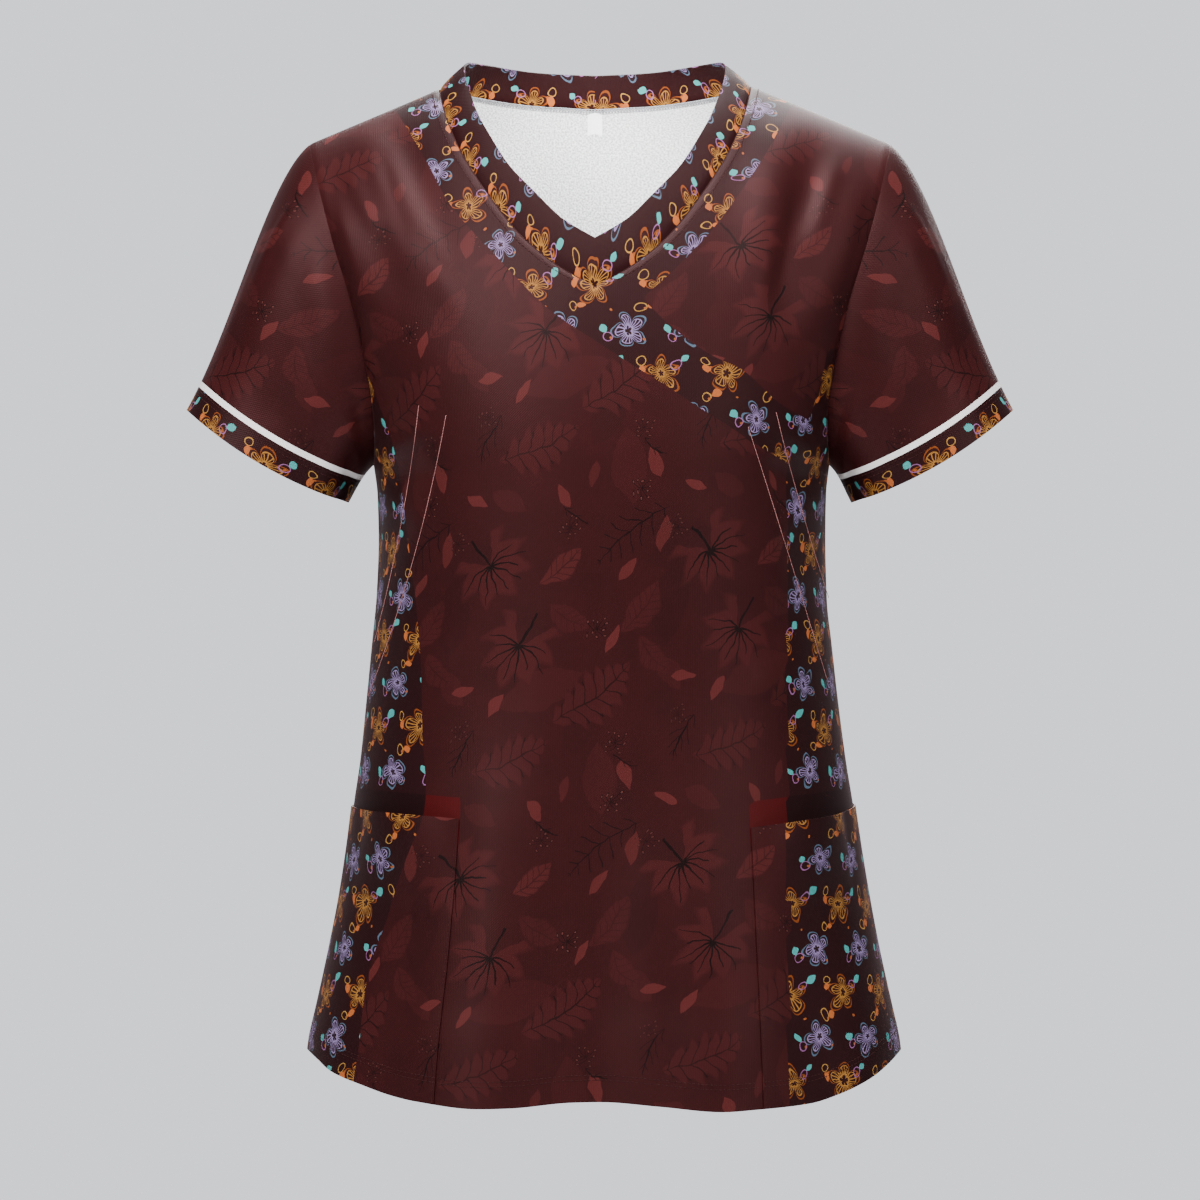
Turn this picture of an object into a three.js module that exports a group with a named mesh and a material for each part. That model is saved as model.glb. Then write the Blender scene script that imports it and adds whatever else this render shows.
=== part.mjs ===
import * as THREE from 'three';

// A short-sleeved V-neck scrub top in its worn, hollow shape. Millimetres, +Z up, front to -Y.
// The origin lies midway between the two shoulder points.

// Cloth and seams
const CLOTH = 1.5;
const LABEL_CLOTH = 1.0;
const SEAM_GAP = 0.3;
const POCKET_LIFT = CLOTH + SEAM_GAP;
// Share of the pocket mouth that stands off, counted from its upright seam
const GAPE_END = 0.64;

// Heights of the main lines
const ARMPIT_Z = -240;
const MOUTH_Z = -478;
const HEM_RING_Z = -670;

// Roundness of the body rings and of the roll over the shoulders
const RING_POWER = 2.25;
const FRONT_ROLL = 1.8;
const BACK_ROLL = 1.9;

// Shoulder line: height at its neck end and fall for each millimetre outward
const SHOULDER_NECK = 101;
const SHOULDER_TOP = 17;
const SHOULDER_FALL = 0.42;
const SHOULDER_TIP = 198;

// The neck opening sits a little to the left of the middle
const NECK_SHIFT = -3.5;

// Sleeve end: an oval, tilted, its front edge a little lower
const CUFF_X = 226;
const CUFF_Z = -235.5;
const CUFF_WIDE = 63;
const CUFF_DEEP = 46;
const CUFF_TILT = 29.8;
const CUFF_DROOP = 7;

// Counts of rows and columns
const HALF_COLS = 14;
const POCKET_COL = 6;
const LOW_ROWS = 7;
const MID_ROWS = 6;
const YOKE_LOW = 5;
const YOKE_HIGH = 8;
const SLEEVE_ROWS = 9;
const BAND_ROWS = 2;

// Body rings from the hem up: height, left and right half width, depth in front and behind
const RINGS = [
  { z: -690, left: 206, right: 211, front: 137, back: 130 },
  { z: -632, left: 196.5, right: 202, front: 134, back: 127 },
  { z: -605, left: 190.4, right: 196, front: 132, back: 124 },
  { z: -571, left: 183, right: 188.5, front: 131, back: 121 },
  { z: -537, left: 176.3, right: 182, front: 129.5, back: 117 },
  { z: -503, left: 171, right: 176.3, front: 128, back: 113 },
  { z: -469, left: 166.6, right: 171.2, front: 126.5, back: 109 },
  { z: -442, left: 162.6, right: 166.8, front: 125.5, back: 106 },
  { z: -401, left: 158.4, right: 161.4, front: 125, back: 103.5 },
  { z: -360, left: 154.4, right: 156.8, front: 126, back: 104.5 },
  { z: -333, left: 151.8, right: 154, front: 127.5, back: 107 },
  { z: -292, left: 150.2, right: 153, front: 129.5, back: 112 },
  { z: -262, left: 151, right: 153.4, front: 130.3, back: 116 },
  { z: -240, left: 153.7, right: 155.7, front: 130.5, back: 118 },
];

// Armhole seam: share of the way up from armpit to shoulder, half width
const ARMHOLE = [
  { up: 0, x: 154.2 },
  { up: 0.08, x: 154 },
  { up: 0.17, x: 155 },
  { up: 0.34, x: 161 },
  { up: 0.49, x: 168.5 },
  { up: 0.68, x: 181 },
  { up: 0.83, x: 189.5 },
  { up: 1, x: 198 },
];

// Front neck seam, half width and height, from the point of the V up to the shoulder
const FRONT_NECK = [
  { x: 0, z: -121 },
  { x: 27, z: -105.5 },
  { x: 51, z: -85 },
  { x: 73, z: -57 },
  { x: 85.5, z: -38 },
  { x: 93, z: -24.5 },
  { x: 102.5, z: 0 },
  { x: 106, z: 14.9 },
];

// Back neck seam, half width and height, from the middle to the shoulder
const BACK_NECK = [
  { x: 0, z: 1.4 },
  { x: 40, z: 3.2 },
  { x: 83, z: 9.6 },
  { x: 106, z: 14.9 },
];

// Free edge of the neckband: half width, depth and height, from the V round to the back
const FRONT_EDGE = [
  { x: 0, y: -102, z: -88 },
  { x: 22, y: -97, z: -75 },
  { x: 40, y: -88.5, z: -57.5 },
  { x: 58, y: -76, z: -38.7 },
  { x: 71, y: -61, z: -18.5 },
  { x: 79, y: -47, z: -4 },
  { x: 84.5, y: -32, z: 10 },
  { x: 88, y: -17, z: 22 },
  { x: 88.5, y: -2, z: 29.6 },
];
const BACK_EDGE = [
  { x: 0, y: 60, z: 24 },
  { x: 40, y: 52, z: 26 },
  { x: 72, y: 30, z: 30.5 },
  { x: 85, y: 13, z: 32 },
  { x: 88.5, y: -2, z: 29.6 },
];

// Front hem height across the width
const FRONT_HEM = [
  { x: -206, z: -636 },
  { x: -194, z: -645 },
  { x: -184, z: -652.8 },
  { x: -163, z: -661.6 },
  { x: -143, z: -668.4 },
  { x: -122, z: -673 },
  { x: -82, z: -678 },
  { x: -61, z: -677.3 },
  { x: -20, z: -673 },
  { x: 0, z: -672.5 },
  { x: 41, z: -676 },
  { x: 82, z: -680 },
  { x: 102, z: -678.6 },
  { x: 143, z: -673.9 },
  { x: 163, z: -667.8 },
  { x: 184, z: -657.6 },
  { x: 196, z: -649 },
  { x: 211, z: -636 },
];
const BACK_HEM = [
  { x: -206, z: -636 },
  { x: -150, z: -652 },
  { x: 0, z: -664 },
  { x: 150, z: -652 },
  { x: 211, z: -636 },
];

// Pocket seams on the front: height and distance from the middle, left and right
const POCKET_SEAM = [
  { z: -690, left: 112, right: 109.5 },
  { z: -640, left: 108, right: 107.4 },
  { z: -570, left: 100.6, right: 104.5 },
  { z: -486, left: 94.8, right: 101.3 },
  { z: -440, left: 93, right: 99 },
  { z: -240, left: 82, right: 84 },
];
const POCKETS = [
  { side: -1, name: 'pocket_left', seam_top: -481.5, side_top: -472.5, gape: 12 },
  { side: 1, name: 'pocket_right', seam_top: -487.5, side_top: -471.5, gape: 12 },
];

// Long soft folds of the body: panel, ends of the fold line, reach each way, height outward
const FOLDS = [
  { panel: -1, x0: -160, z0: -14, x1: -112, z1: -128, reach: 17, height: 3.2 },
  { panel: -1, x0: -140, z0: -14, x1: -96, z1: -110, reach: 13, height: -2.2 },
  { panel: -1, x0: -183, z0: -60, x1: -148, z1: -160, reach: 15, height: 2.4 },
  { panel: -1, x0: 124, z0: -8, x1: 100, z1: -176, reach: 19, height: 3.4 },
  { panel: -1, x0: 146, z0: -20, x1: 120, z1: -150, reach: 13, height: -2.8 },
  { panel: -1, x0: 176, z0: -50, x1: 140, z1: -170, reach: 15, height: 2.4 },
  { panel: -1, x0: -124, z0: -215, x1: -150, z1: -330, reach: 13, height: -2.6 },
  { panel: -1, x0: 118, z0: -215, x1: 150, z1: -350, reach: 13, height: -2.6 },
  { panel: 1, x0: -60, z0: -60, x1: -96, z1: -230, reach: 22, height: 3 },
  { panel: 1, x0: 60, z0: -60, x1: 92, z1: -240, reach: 22, height: 3 },
  { panel: 1, x0: -20, z0: -250, x1: 20, z1: -420, reach: 26, height: -3 },
  { panel: 1, x0: -90, z0: -270, x1: -116, z1: -400, reach: 18, height: -2.8 },
  { panel: 1, x0: 90, z0: -280, x1: 120, z1: -410, reach: 18, height: -2.8 },
];

// Flutes of the skirt: panel, place at the hem, where each starts, reach and height at the hem
const FLUTES = [
  { panel: -1, x: -88, top: -400, reach: 33, height: 6 },
  { panel: -1, x: -2, top: -360, reach: 38, height: -8 },
  { panel: -1, x: 88, top: -390, reach: 34, height: 6.5 },
  { panel: -1, x: -146, top: -500, reach: 22, height: -3.2 },
  { panel: -1, x: 150, top: -500, reach: 22, height: -3.2 },
  { panel: 1, x: -112, top: -420, reach: 30, height: 6 },
  { panel: 1, x: -62, top: -430, reach: 24, height: -6 },
  { panel: 1, x: -10, top: -390, reach: 34, height: 7 },
  { panel: 1, x: 50, top: -440, reach: 26, height: -6 },
  { panel: 1, x: 106, top: -410, reach: 32, height: 6.5 },
];

// Folds of a sleeve: share of the way round from the top, start and end down it, reach, height
const SLEEVE_FOLDS = [
  { round: 0.1, start: 0.05, end: 0.6, reach: 0.045, height: 3.2 },
  { round: 0.22, start: 0.1, end: 0.8, reach: 0.05, height: -3 },
  { round: 0.36, start: 0.15, end: 0.95, reach: 0.05, height: 3 },
  { round: 0.64, start: 0.1, end: 0.9, reach: 0.05, height: 3 },
  { round: 0.78, start: 0.1, end: 0.8, reach: 0.05, height: -3 },
  { round: 0.9, start: 0.05, end: 0.6, reach: 0.045, height: 2.6 },
];

// Colours
const BURGUNDY = 0x4b2024;
const DARK_BURGUNDY = 0x351417;
const WHITE = 0xecebe8;

const clamp = (v, lo, hi) => Math.min(hi, Math.max(lo, v));
const radians = (deg) => (deg * Math.PI) / 180;

function smooth(t) {
  const c = clamp(t, 0, 1);
  return c * c * (3 - 2 * c);
}

// Smooth reading of a column of a table along its key column, with no overshoot
function read(table, key, column, at) {
  const last = table.length - 1;
  const rising = table[last][key] > table[0][key];
  const rows = rising ? table : [...table].reverse();
  const t = clamp(at, rows[0][key], rows[last][key]);
  let k = 0;
  while (k < last - 1 && t > rows[k + 1][key]) k += 1;
  const slope = (i) => (rows[i + 1][column] - rows[i][column]) / (rows[i + 1][key] - rows[i][key]);
  const tangent = (i) => {
    if (i === 0) return slope(0);
    if (i === last) return slope(last - 1);
    const a = slope(i - 1);
    const b = slope(i);
    return a * b <= 0 ? 0 : (2 * a * b) / (a + b);
  };
  const h = rows[k + 1][key] - rows[k][key];
  const s = (t - rows[k][key]) / h;
  const s2 = s * s;
  const s3 = s2 * s;
  return (
    (2 * s3 - 3 * s2 + 1) * rows[k][column] +
    (s3 - 2 * s2 + s) * h * tangent(k) +
    (3 * s2 - 2 * s3) * rows[k + 1][column] +
    (s3 - s2) * h * tangent(k + 1)
  );
}

// Curve through the rows of a table, even along its length, as a function of a share 0..1
function curveThrough(points) {
  const curve = new THREE.CatmullRomCurve3(points, false, 'centripetal');
  curve.arcLengthDivisions = 400;
  return (share) => curve.getPointAt(clamp(share, 0, 1));
}

// Quarter of a body ring, from the middle out, as a function of the share of its length
function quarter(width, depth, end) {
  const steps = 90;
  const points = [];
  const lengths = [0];
  const stop = Math.asin(Math.pow(end, RING_POWER / 2));
  for (let i = 0; i <= steps; i += 1) {
    const angle = Math.PI / 2 + (stop - Math.PI / 2) * (i / steps);
    const x = width * Math.pow(Math.max(Math.cos(angle), 0), 2 / RING_POWER);
    const y = depth * Math.pow(Math.max(Math.sin(angle), 0), 2 / RING_POWER);
    points.push([x, y]);
    if (i > 0) {
      const [px, py] = points[i - 1];
      lengths.push(lengths[i - 1] + Math.hypot(x - px, y - py));
    }
  }
  return (share) => {
    const want = clamp(share, 0, 1) * lengths[steps];
    let k = 0;
    while (k < steps - 1 && lengths[k + 1] < want) k += 1;
    const t = (want - lengths[k]) / (lengths[k + 1] - lengths[k]);
    return [
      points[k][0] + (points[k + 1][0] - points[k][0]) * t,
      points[k][1] + (points[k + 1][1] - points[k][1]) * t,
    ];
  };
}

// Point of the body below the armpits: face -1 front or 1 back, side -1 left or 1 right
function skirtPoint(face, side, share, z) {
  const width = read(RINGS, 'z', side < 0 ? 'left' : 'right', z);
  const depth = read(RINGS, 'z', face < 0 ? 'front' : 'back', z);
  const [x, y] = quarter(width, depth, 0)(share);
  return new THREE.Vector3(side * x, face * y, z);
}

// Point of the body above the armpits, up 0 at the armpit and 1 on the shoulder seam
function yokePoint(face, side, share, up) {
  const roll = face < 0 ? FRONT_ROLL : BACK_ROLL;
  const top = RINGS[RINGS.length - 1];
  const depth = (face < 0 ? top.front : top.back) * Math.pow(Math.max(1 - Math.pow(up, roll), 0), 1 / roll);
  const armhole = read(ARMHOLE, 'up', 'x', up);
  const held = 0.72 * Math.pow(up, 0.38);
  const width = armhole / Math.pow(1 - Math.pow(held, RING_POWER), 1 / RING_POWER);
  const [x, y] = quarter(width, Math.max(depth, 1e-9), held)(share);
  const shoulder = SHOULDER_TOP - SHOULDER_FALL * (SHOULDER_TIP * share - SHOULDER_NECK);
  return new THREE.Vector3(side * x, face * y, ARMPIT_Z + up * (shoulder - ARMPIT_Z));
}

// Share of a yoke row at which the neck seam cuts it
function neckShare(face, side, up) {
  const table = face < 0 ? FRONT_NECK : BACK_NECK;
  const beyond = (share) => {
    const p = yokePoint(face, side, share, up);
    if (p.z <= table[0].z) return 1;
    return side * (p.x - NECK_SHIFT) - read(table, 'z', 'x', p.z);
  };
  let lo = 0;
  let hi = 0.8;
  if (beyond(lo) > 0) return 0;
  for (let k = 0; k < 40; k += 1) {
    const mid = (lo + hi) / 2;
    if (beyond(mid) > 0) hi = mid;
    else lo = mid;
  }
  return (lo + hi) / 2;
}

// Share of a skirt row that lies under the pocket's upright seam
function pocketShare(side, z) {
  const want = read(POCKET_SEAM, 'z', side < 0 ? 'left' : 'right', z);
  const width = read(RINGS, 'z', side < 0 ? 'left' : 'right', z);
  const ring = quarter(width, read(RINGS, 'z', 'front', z), 0);
  let lo = 0;
  let hi = 1;
  for (let k = 0; k < 30; k += 1) {
    const mid = (lo + hi) / 2;
    if (ring(mid)[0] > want) hi = mid;
    else lo = mid;
  }
  return lo;
}

// Column share, with one column kept on the pocket's upright seam
function columnShare(side, col, z) {
  const seam = pocketShare(side, z);
  if (col <= POCKET_COL) return (seam * col) / POCKET_COL;
  return seam + ((1 - seam) * (col - POCKET_COL)) / (HALF_COLS - POCKET_COL);
}

// Heights of the yoke rows: one row on the point of the V, one on the back neck
function yokeRows(face) {
  const table = face < 0 ? FRONT_NECK : BACK_NECK;
  const peak = SHOULDER_TOP + SHOULDER_FALL * SHOULDER_NECK;
  const low = (table[0].z - ARMPIT_Z) / (peak - ARMPIT_Z);
  const roll = face < 0 ? FRONT_ROLL : BACK_ROLL;
  const turn = Math.asin(Math.pow(low, roll / 2));
  const rows = [];
  for (let i = 0; i <= YOKE_LOW + YOKE_HIGH; i += 1) {
    const cut = face < 0 ? YOKE_LOW : YOKE_LOW + YOKE_HIGH - 5;
    const total = YOKE_LOW + YOKE_HIGH;
    const angle = i <= cut ? (turn * i) / cut : turn + ((Math.PI / 2 - turn) * (i - cut)) / (total - cut);
    rows.push(Math.pow(Math.sin(angle), 2 / roll));
  }
  rows[rows.length - 1] = 1;
  return rows;
}

// One half of a panel as a grid of rows from the hem to the shoulder
function halfPanel(face, side) {
  const grid = [];
  const hem = face < 0 ? FRONT_HEM : BACK_HEM;
  for (let i = 0; i < LOW_ROWS + MID_ROWS; i += 1) {
    const row = [];
    for (let j = 0; j <= HALF_COLS; j += 1) {
      const edge = skirtPoint(face, side, columnShare(side, j, HEM_RING_Z), HEM_RING_Z);
      const low = read(hem, 'x', 'z', edge.x);
      const z = i <= LOW_ROWS
        ? low + ((MOUTH_Z - low) * i) / LOW_ROWS
        : MOUTH_Z + ((ARMPIT_Z - MOUTH_Z) * (i - LOW_ROWS)) / MID_ROWS;
      row.push(skirtPoint(face, side, columnShare(side, j, z), z));
    }
    grid.push(row);
  }
  for (const up of yokeRows(face)) {
    const start = neckShare(face, side, up);
    const row = [];
    for (let j = 0; j <= HALF_COLS; j += 1) {
      const plain = columnShare(side, j, ARMPIT_Z);
      row.push(yokePoint(face, side, start + (1 - start) * plain, up));
    }
    grid.push(row);
  }
  return grid;
}

const YOKE_START = LOW_ROWS + MID_ROWS;
const NECK_START = { '-1': YOKE_START + YOKE_LOW, '1': YOKE_START + YOKE_LOW + YOKE_HIGH - 5 };
const TOP_ROW = YOKE_START + YOKE_LOW + YOKE_HIGH;

// Half panels share the shoulder points, so front and back meet there
const halves = {};
for (const face of [-1, 1]) {
  for (const side of [-1, 1]) halves[`${face}${side}`] = halfPanel(face, side);
}
for (const side of [-1, 1]) {
  const front = halves[`-1${side}`];
  const back = halves[`1${side}`];
  back[TOP_ROW] = front[TOP_ROW].map((p) => p.clone());
  for (let i = 0; i <= TOP_ROW; i += 1) {
    if (i <= YOKE_START) {
      const meet = front[i][HALF_COLS].clone();
      meet.y = 0;
      front[i][HALF_COLS] = meet;
      back[i][HALF_COLS] = meet.clone();
    }
  }
}

// Sleeve: from the armhole loop down to the tilted oval end
function sleeveGrid(side) {
  const front = halves[`-1${side}`];
  const back = halves[`1${side}`];
  const loop = [];
  for (let i = TOP_ROW; i >= YOKE_START; i -= 1) loop.push(front[i][HALF_COLS].clone());
  for (let i = YOKE_START + 1; i <= TOP_ROW; i += 1) loop.push(back[i][HALF_COLS].clone());
  const lengths = [0];
  for (let k = 1; k < loop.length; k += 1) lengths.push(lengths[k - 1] + loop[k].distanceTo(loop[k - 1]));
  const bottom = TOP_ROW - YOKE_START;
  const across = new THREE.Vector3(-side * Math.cos(radians(CUFF_TILT)), 0, -Math.sin(radians(CUFF_TILT)));
  const down = new THREE.Vector3(side * Math.sin(radians(CUFF_TILT)), 0, -Math.cos(radians(CUFF_TILT)));
  const grid = [];
  for (let r = 0; r <= SLEEVE_ROWS; r += 1) grid.push([]);
  loop.forEach((start, k) => {
    const round = k <= bottom
      ? (0.5 * lengths[k]) / lengths[bottom]
      : 0.5 + (0.5 * (lengths[k] - lengths[bottom])) / (lengths[loop.length - 1] - lengths[bottom]);
    const angle = 2 * Math.PI * round;
    const end = new THREE.Vector3(side * CUFF_X, 0, CUFF_Z);
    end.addScaledVector(across, -CUFF_WIDE * Math.cos(angle));
    end.y -= CUFF_DEEP * Math.sin(angle);
    end.addScaledVector(down, CUFF_DROOP * Math.pow(Math.sin(angle), 2));
    const reach = start.distanceTo(end);
    const leave = new THREE.Vector3(side * 0.36, -0.16 * Math.sin(angle), 0).addScaledVector(down, 0.64);
    leave.normalize().multiplyScalar(reach * 1.05);
    const arrive = down.clone().multiplyScalar(reach * 0.95);
    for (let r = 0; r <= SLEEVE_ROWS; r += 1) {
      const t = r / SLEEVE_ROWS;
      const t2 = t * t;
      const t3 = t2 * t;
      const p = start.clone().multiplyScalar(2 * t3 - 3 * t2 + 1);
      p.addScaledVector(leave, t3 - 2 * t2 + t);
      p.addScaledVector(end, 3 * t2 - 2 * t3);
      p.addScaledVector(arrive, t3 - t2);
      let fold = 0;
      for (const f of SLEEVE_FOLDS) {
        if (t <= f.start || t >= f.end + 0.15) continue;
        const apart = Math.abs(round - f.round);
        const away = Math.min(apart, 1 - apart) / f.reach;
        const along = smooth((t - f.start) / 0.25) * (1 - smooth((t - f.end + 0.1) / 0.25));
        fold += f.height * Math.exp(-away * away) * along;
      }
      const out = new THREE.Vector3(0, -Math.sin(angle), 0).addScaledVector(across, -Math.cos(angle));
      p.addScaledVector(out, fold);
      grid[r].push(p);
    }
  });
  grid[0] = loop;
  return grid;
}

// Neckband: its seam follows the panels, its free edge stands up round the back
function bandGrid() {
  const seamHalf = (side) => {
    const front = halves[`-1${side}`];
    const back = halves[`1${side}`];
    const line = [];
    for (let i = NECK_START['-1']; i <= TOP_ROW; i += 1) line.push(front[i][0].clone());
    for (let i = TOP_ROW - 1; i >= NECK_START['1']; i -= 1) line.push(back[i][0].clone());
    return line;
  };
  const freeHalf = (side, line) => {
    const toPoint = (r) => new THREE.Vector3(NECK_SHIFT + side * r.x, r.y, r.z);
    const front = curveThrough(FRONT_EDGE.map(toPoint));
    const back = curveThrough(BACK_EDGE.map(toPoint));
    const corner = TOP_ROW - NECK_START['-1'];
    const lengths = [0];
    for (let k = 1; k < line.length; k += 1) lengths.push(lengths[k - 1] + line[k].distanceTo(line[k - 1]));
    return line.map((p, k) => {
      if (k <= corner) return front(lengths[k] / lengths[corner]);
      return back(1 - (lengths[k] - lengths[corner]) / (lengths[line.length - 1] - lengths[corner]));
    });
  };
  const left = seamHalf(-1);
  const right = seamHalf(1);
  const leftFree = freeHalf(-1, left);
  const rightFree = freeHalf(1, right);
  const seam = [...right, ...left.slice(1, -1).reverse(), right[0].clone()];
  const free = [...rightFree, ...leftFree.slice(1, -1).reverse(), rightFree[0].clone()];
  const grid = [];
  for (let r = 0; r <= BAND_ROWS; r += 1) {
    grid.push(seam.map((p, k) => p.clone().lerp(free[k], r / BAND_ROWS)));
  }
  return grid;
}

// Faces of a grid as triples of points, turned so that the outside faces out
function gridFaces(grid, flip) {
  const faces = [];
  for (let i = 0; i + 1 < grid.length; i += 1) {
    for (let j = 0; j + 1 < grid[i].length; j += 1) {
      const a = grid[i][j];
      const b = grid[i][j + 1];
      const c = grid[i + 1][j + 1];
      const d = grid[i + 1][j];
      const pair = [[a, b, c], [a, c, d]];
      for (const [p, q, r] of pair) faces.push(flip ? [p, r, q] : [p, q, r]);
    }
  }
  return faces;
}

// Points closer than a micron are one point
const key = (p) => `${Math.round(p.x * 1000)},${Math.round(p.y * 1000)},${Math.round(p.z * 1000)}`;

class Surface {
  constructor() {
    this.points = [];
    this.index = new Map();
    this.pieces = new Map();
  }

  idOf(p) {
    const k = key(p);
    if (!this.index.has(k)) {
      this.index.set(k, this.points.length);
      this.points.push(p.clone());
    }
    return this.index.get(k);
  }

  add(piece, faces) {
    if (!this.pieces.has(piece)) this.pieces.set(piece, []);
    for (const f of faces) {
      const ids = f.map((p) => this.idOf(p));
      if (new Set(ids).size === 3) this.pieces.get(piece).push(ids);
    }
  }

  normals() {
    const out = this.points.map(() => new THREE.Vector3());
    for (const faces of this.pieces.values()) {
      for (const ids of faces) {
        const [a, b, c] = ids.map((i) => this.points[i]);
        const n = b.clone().sub(a).cross(c.clone().sub(a)).normalize();
        [[0, 1, 2], [1, 2, 0], [2, 0, 1]].forEach(([p, q, r]) => {
          const corner = [a, b, c];
          const u = corner[q].clone().sub(corner[p]);
          const v = corner[r].clone().sub(corner[p]);
          out[ids[p]].addScaledVector(n, u.angleTo(v));
        });
      }
    }
    return out.map((n) => n.normalize());
  }
}

// A closed wall from an open sheet of faces: both skins and the edge strips
function wall(points, normals, faces, thickness, trim) {
  const used = [...new Set(faces.flat())];
  const edges = new Map();
  for (const [a, b, c] of faces) {
    for (const [p, q] of [[a, b], [b, c], [c, a]]) {
      const back = `${q}_${p}`;
      if (edges.has(back)) edges.delete(back);
      else edges.set(`${p}_${q}`, [p, q]);
    }
  }
  const inward = new Map();
  for (const [p, q] of edges.values()) {
    const along = points[q].clone().sub(points[p]);
    for (const v of [p, q]) {
      const side = normals[v].clone().cross(along).normalize();
      if (!inward.has(v)) inward.set(v, []);
      inward.get(v).push(side);
    }
  }
  const placed = new Map();
  for (const v of used) {
    const p = points[v].clone();
    const sides = inward.get(v);
    if (sides && sides.length === 2) {
      const sum = sides[0].clone().add(sides[1]);
      p.addScaledVector(sum, trim / Math.max(0.35, 1 + sides[0].dot(sides[1])));
    }
    placed.set(v, p);
  }
  const slot = new Map(used.map((v, i) => [v, i]));
  const positions = [];
  for (const half of [1, -1]) {
    for (const v of used) {
      const p = placed.get(v).clone().addScaledVector(normals[v], (half * thickness) / 2);
      positions.push(p.x, p.y, p.z);
    }
  }
  const n = used.length;
  const index = [];
  for (const [a, b, c] of faces) {
    index.push(slot.get(a), slot.get(b), slot.get(c));
    index.push(n + slot.get(a), n + slot.get(c), n + slot.get(b));
  }
  for (const [p, q] of edges.values()) {
    const a = slot.get(p);
    const b = slot.get(q);
    index.push(b, a, n + a);
    index.push(b, n + a, n + b);
  }
  const geometry = new THREE.BufferGeometry();
  geometry.setAttribute('position', new THREE.Float32BufferAttribute(positions, 3));
  geometry.setIndex(index);
  geometry.computeVertexNormals();
  return geometry;
}

// Height of the folds at a point of a panel
function foldHeight(face, p) {
  let sum = 0;
  for (const f of FOLDS) {
    if (f.panel !== face) continue;
    const dx = f.x1 - f.x0;
    const dz = f.z1 - f.z0;
    const length = Math.hypot(dx, dz);
    const t = ((p.x - f.x0) * dx + (p.z - f.z0) * dz) / (length * length);
    const off = ((p.x - f.x0) * dz - (p.z - f.z0) * dx) / length / f.reach;
    sum += f.height * Math.exp(-off * off) * smooth((t + 0.1) / 0.35) * (1 - smooth((t - 0.65) / 0.45));
  }
  for (const f of FLUTES) {
    if (f.panel !== face) continue;
    const grown = smooth((f.top - p.z) / (f.top + 650));
    const spread = 1 - 0.2 * (1 - grown);
    const off = (p.x - f.x * spread) / f.reach;
    sum += f.height * Math.exp(-off * off) * grown;
  }
  return sum;
}

const sheet = new Surface();
for (const face of [-1, 1]) {
  for (const side of [-1, 1]) {
    sheet.add(face < 0 ? 'front' : 'back', gridFaces(halves[`${face}${side}`], face * side > 0));
  }
}
const sleeves = { '-1': sleeveGrid(-1), '1': sleeveGrid(1) };
sheet.add('sleeve_left', gridFaces(sleeves['-1'], true));
sheet.add('sleeve_right', gridFaces(sleeves['1'], false));
sheet.add('neckband', gridFaces(bandGrid(), false));

// Seam points stay where they are, points inside a panel take its folds
const plain = sheet.normals();
const seamIds = new Set();
const owner = new Map();
for (const [piece, faces] of sheet.pieces) {
  for (const ids of faces) {
    for (const id of ids) {
      if (owner.has(id) && owner.get(id) !== piece) seamIds.add(id);
      owner.set(id, piece);
    }
  }
}
sheet.points.forEach((p, id) => {
  const piece = owner.get(id);
  if (piece !== 'front' && piece !== 'back') return;
  if (seamIds.has(id)) return;
  p.addScaledVector(plain[id], foldHeight(piece === 'front' ? -1 : 1, p));
});
const normals = sheet.normals();

const group = new THREE.Group();
group.name = 'scrub_top';

function addPiece(name, geometry, colour) {
  const material = new THREE.MeshStandardMaterial({ color: colour, roughness: 0.8, metalness: 0 });
  material.name = `${name}_cloth`;
  const mesh = new THREE.Mesh(geometry, material);
  mesh.name = name;
  group.add(mesh);
}

const COLOURS = { front: BURGUNDY, back: BURGUNDY, neckband: DARK_BURGUNDY };
for (const [piece, faces] of sheet.pieces) {
  const colour = COLOURS[piece] ?? BURGUNDY;
  addPiece(piece, wall(sheet.points, normals, faces, CLOTH, SEAM_GAP / 2), colour);
}

// Pockets: the front's own points moved out, the mouth standing off in the middle
for (const pocket of POCKETS) {
  const half = halves[`-1${pocket.side}`];
  const patch = new Surface();
  const rows = [];
  const lifts = [];
  for (let i = 0; i <= LOW_ROWS; i += 1) {
    const row = [];
    const lift = [];
    for (let j = POCKET_COL; j <= HALF_COLS; j += 1) {
      const t = (j - POCKET_COL) / (HALF_COLS - POCKET_COL);
      const id = sheet.idOf(half[i][j]);
      const p = sheet.points[id].clone();
      const n = normals[id].clone();
      if (i === LOW_ROWS) {
        const want = pocket.seam_top + (pocket.side_top - pocket.seam_top) * t;
        const nextRow = want < MOUTH_Z ? LOW_ROWS - 1 : LOW_ROWS + 1;
        const next = sheet.idOf(half[nextRow][j]);
        const share = (want - p.z) / (sheet.points[next].z - p.z);
        p.lerp(sheet.points[next], share);
        n.lerp(normals[next], share).normalize();
      }
      const open = Math.sin(Math.PI * Math.pow(clamp(t / GAPE_END, 0, 1), 0.85)) * smooth((i - LOW_ROWS + 3) / 3);
      row.push(p.addScaledVector(n, POCKET_LIFT + pocket.gape * open));
      lift.push(n);
    }
    rows.push(row);
    lifts.push(lift);
  }
  patch.add(pocket.name, gridFaces(rows, pocket.side < 0));
  const turned = patch.normals();
  rows.forEach((row, i) => row.forEach((p, j) => {
    if (i < LOW_ROWS - 3) turned[patch.idOf(p)].copy(lifts[i][j]);
  }));
  addPiece(pocket.name, wall(patch.points, turned, patch.pieces.get(pocket.name), CLOTH, SEAM_GAP / 2), DARK_BURGUNDY);
}

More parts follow.
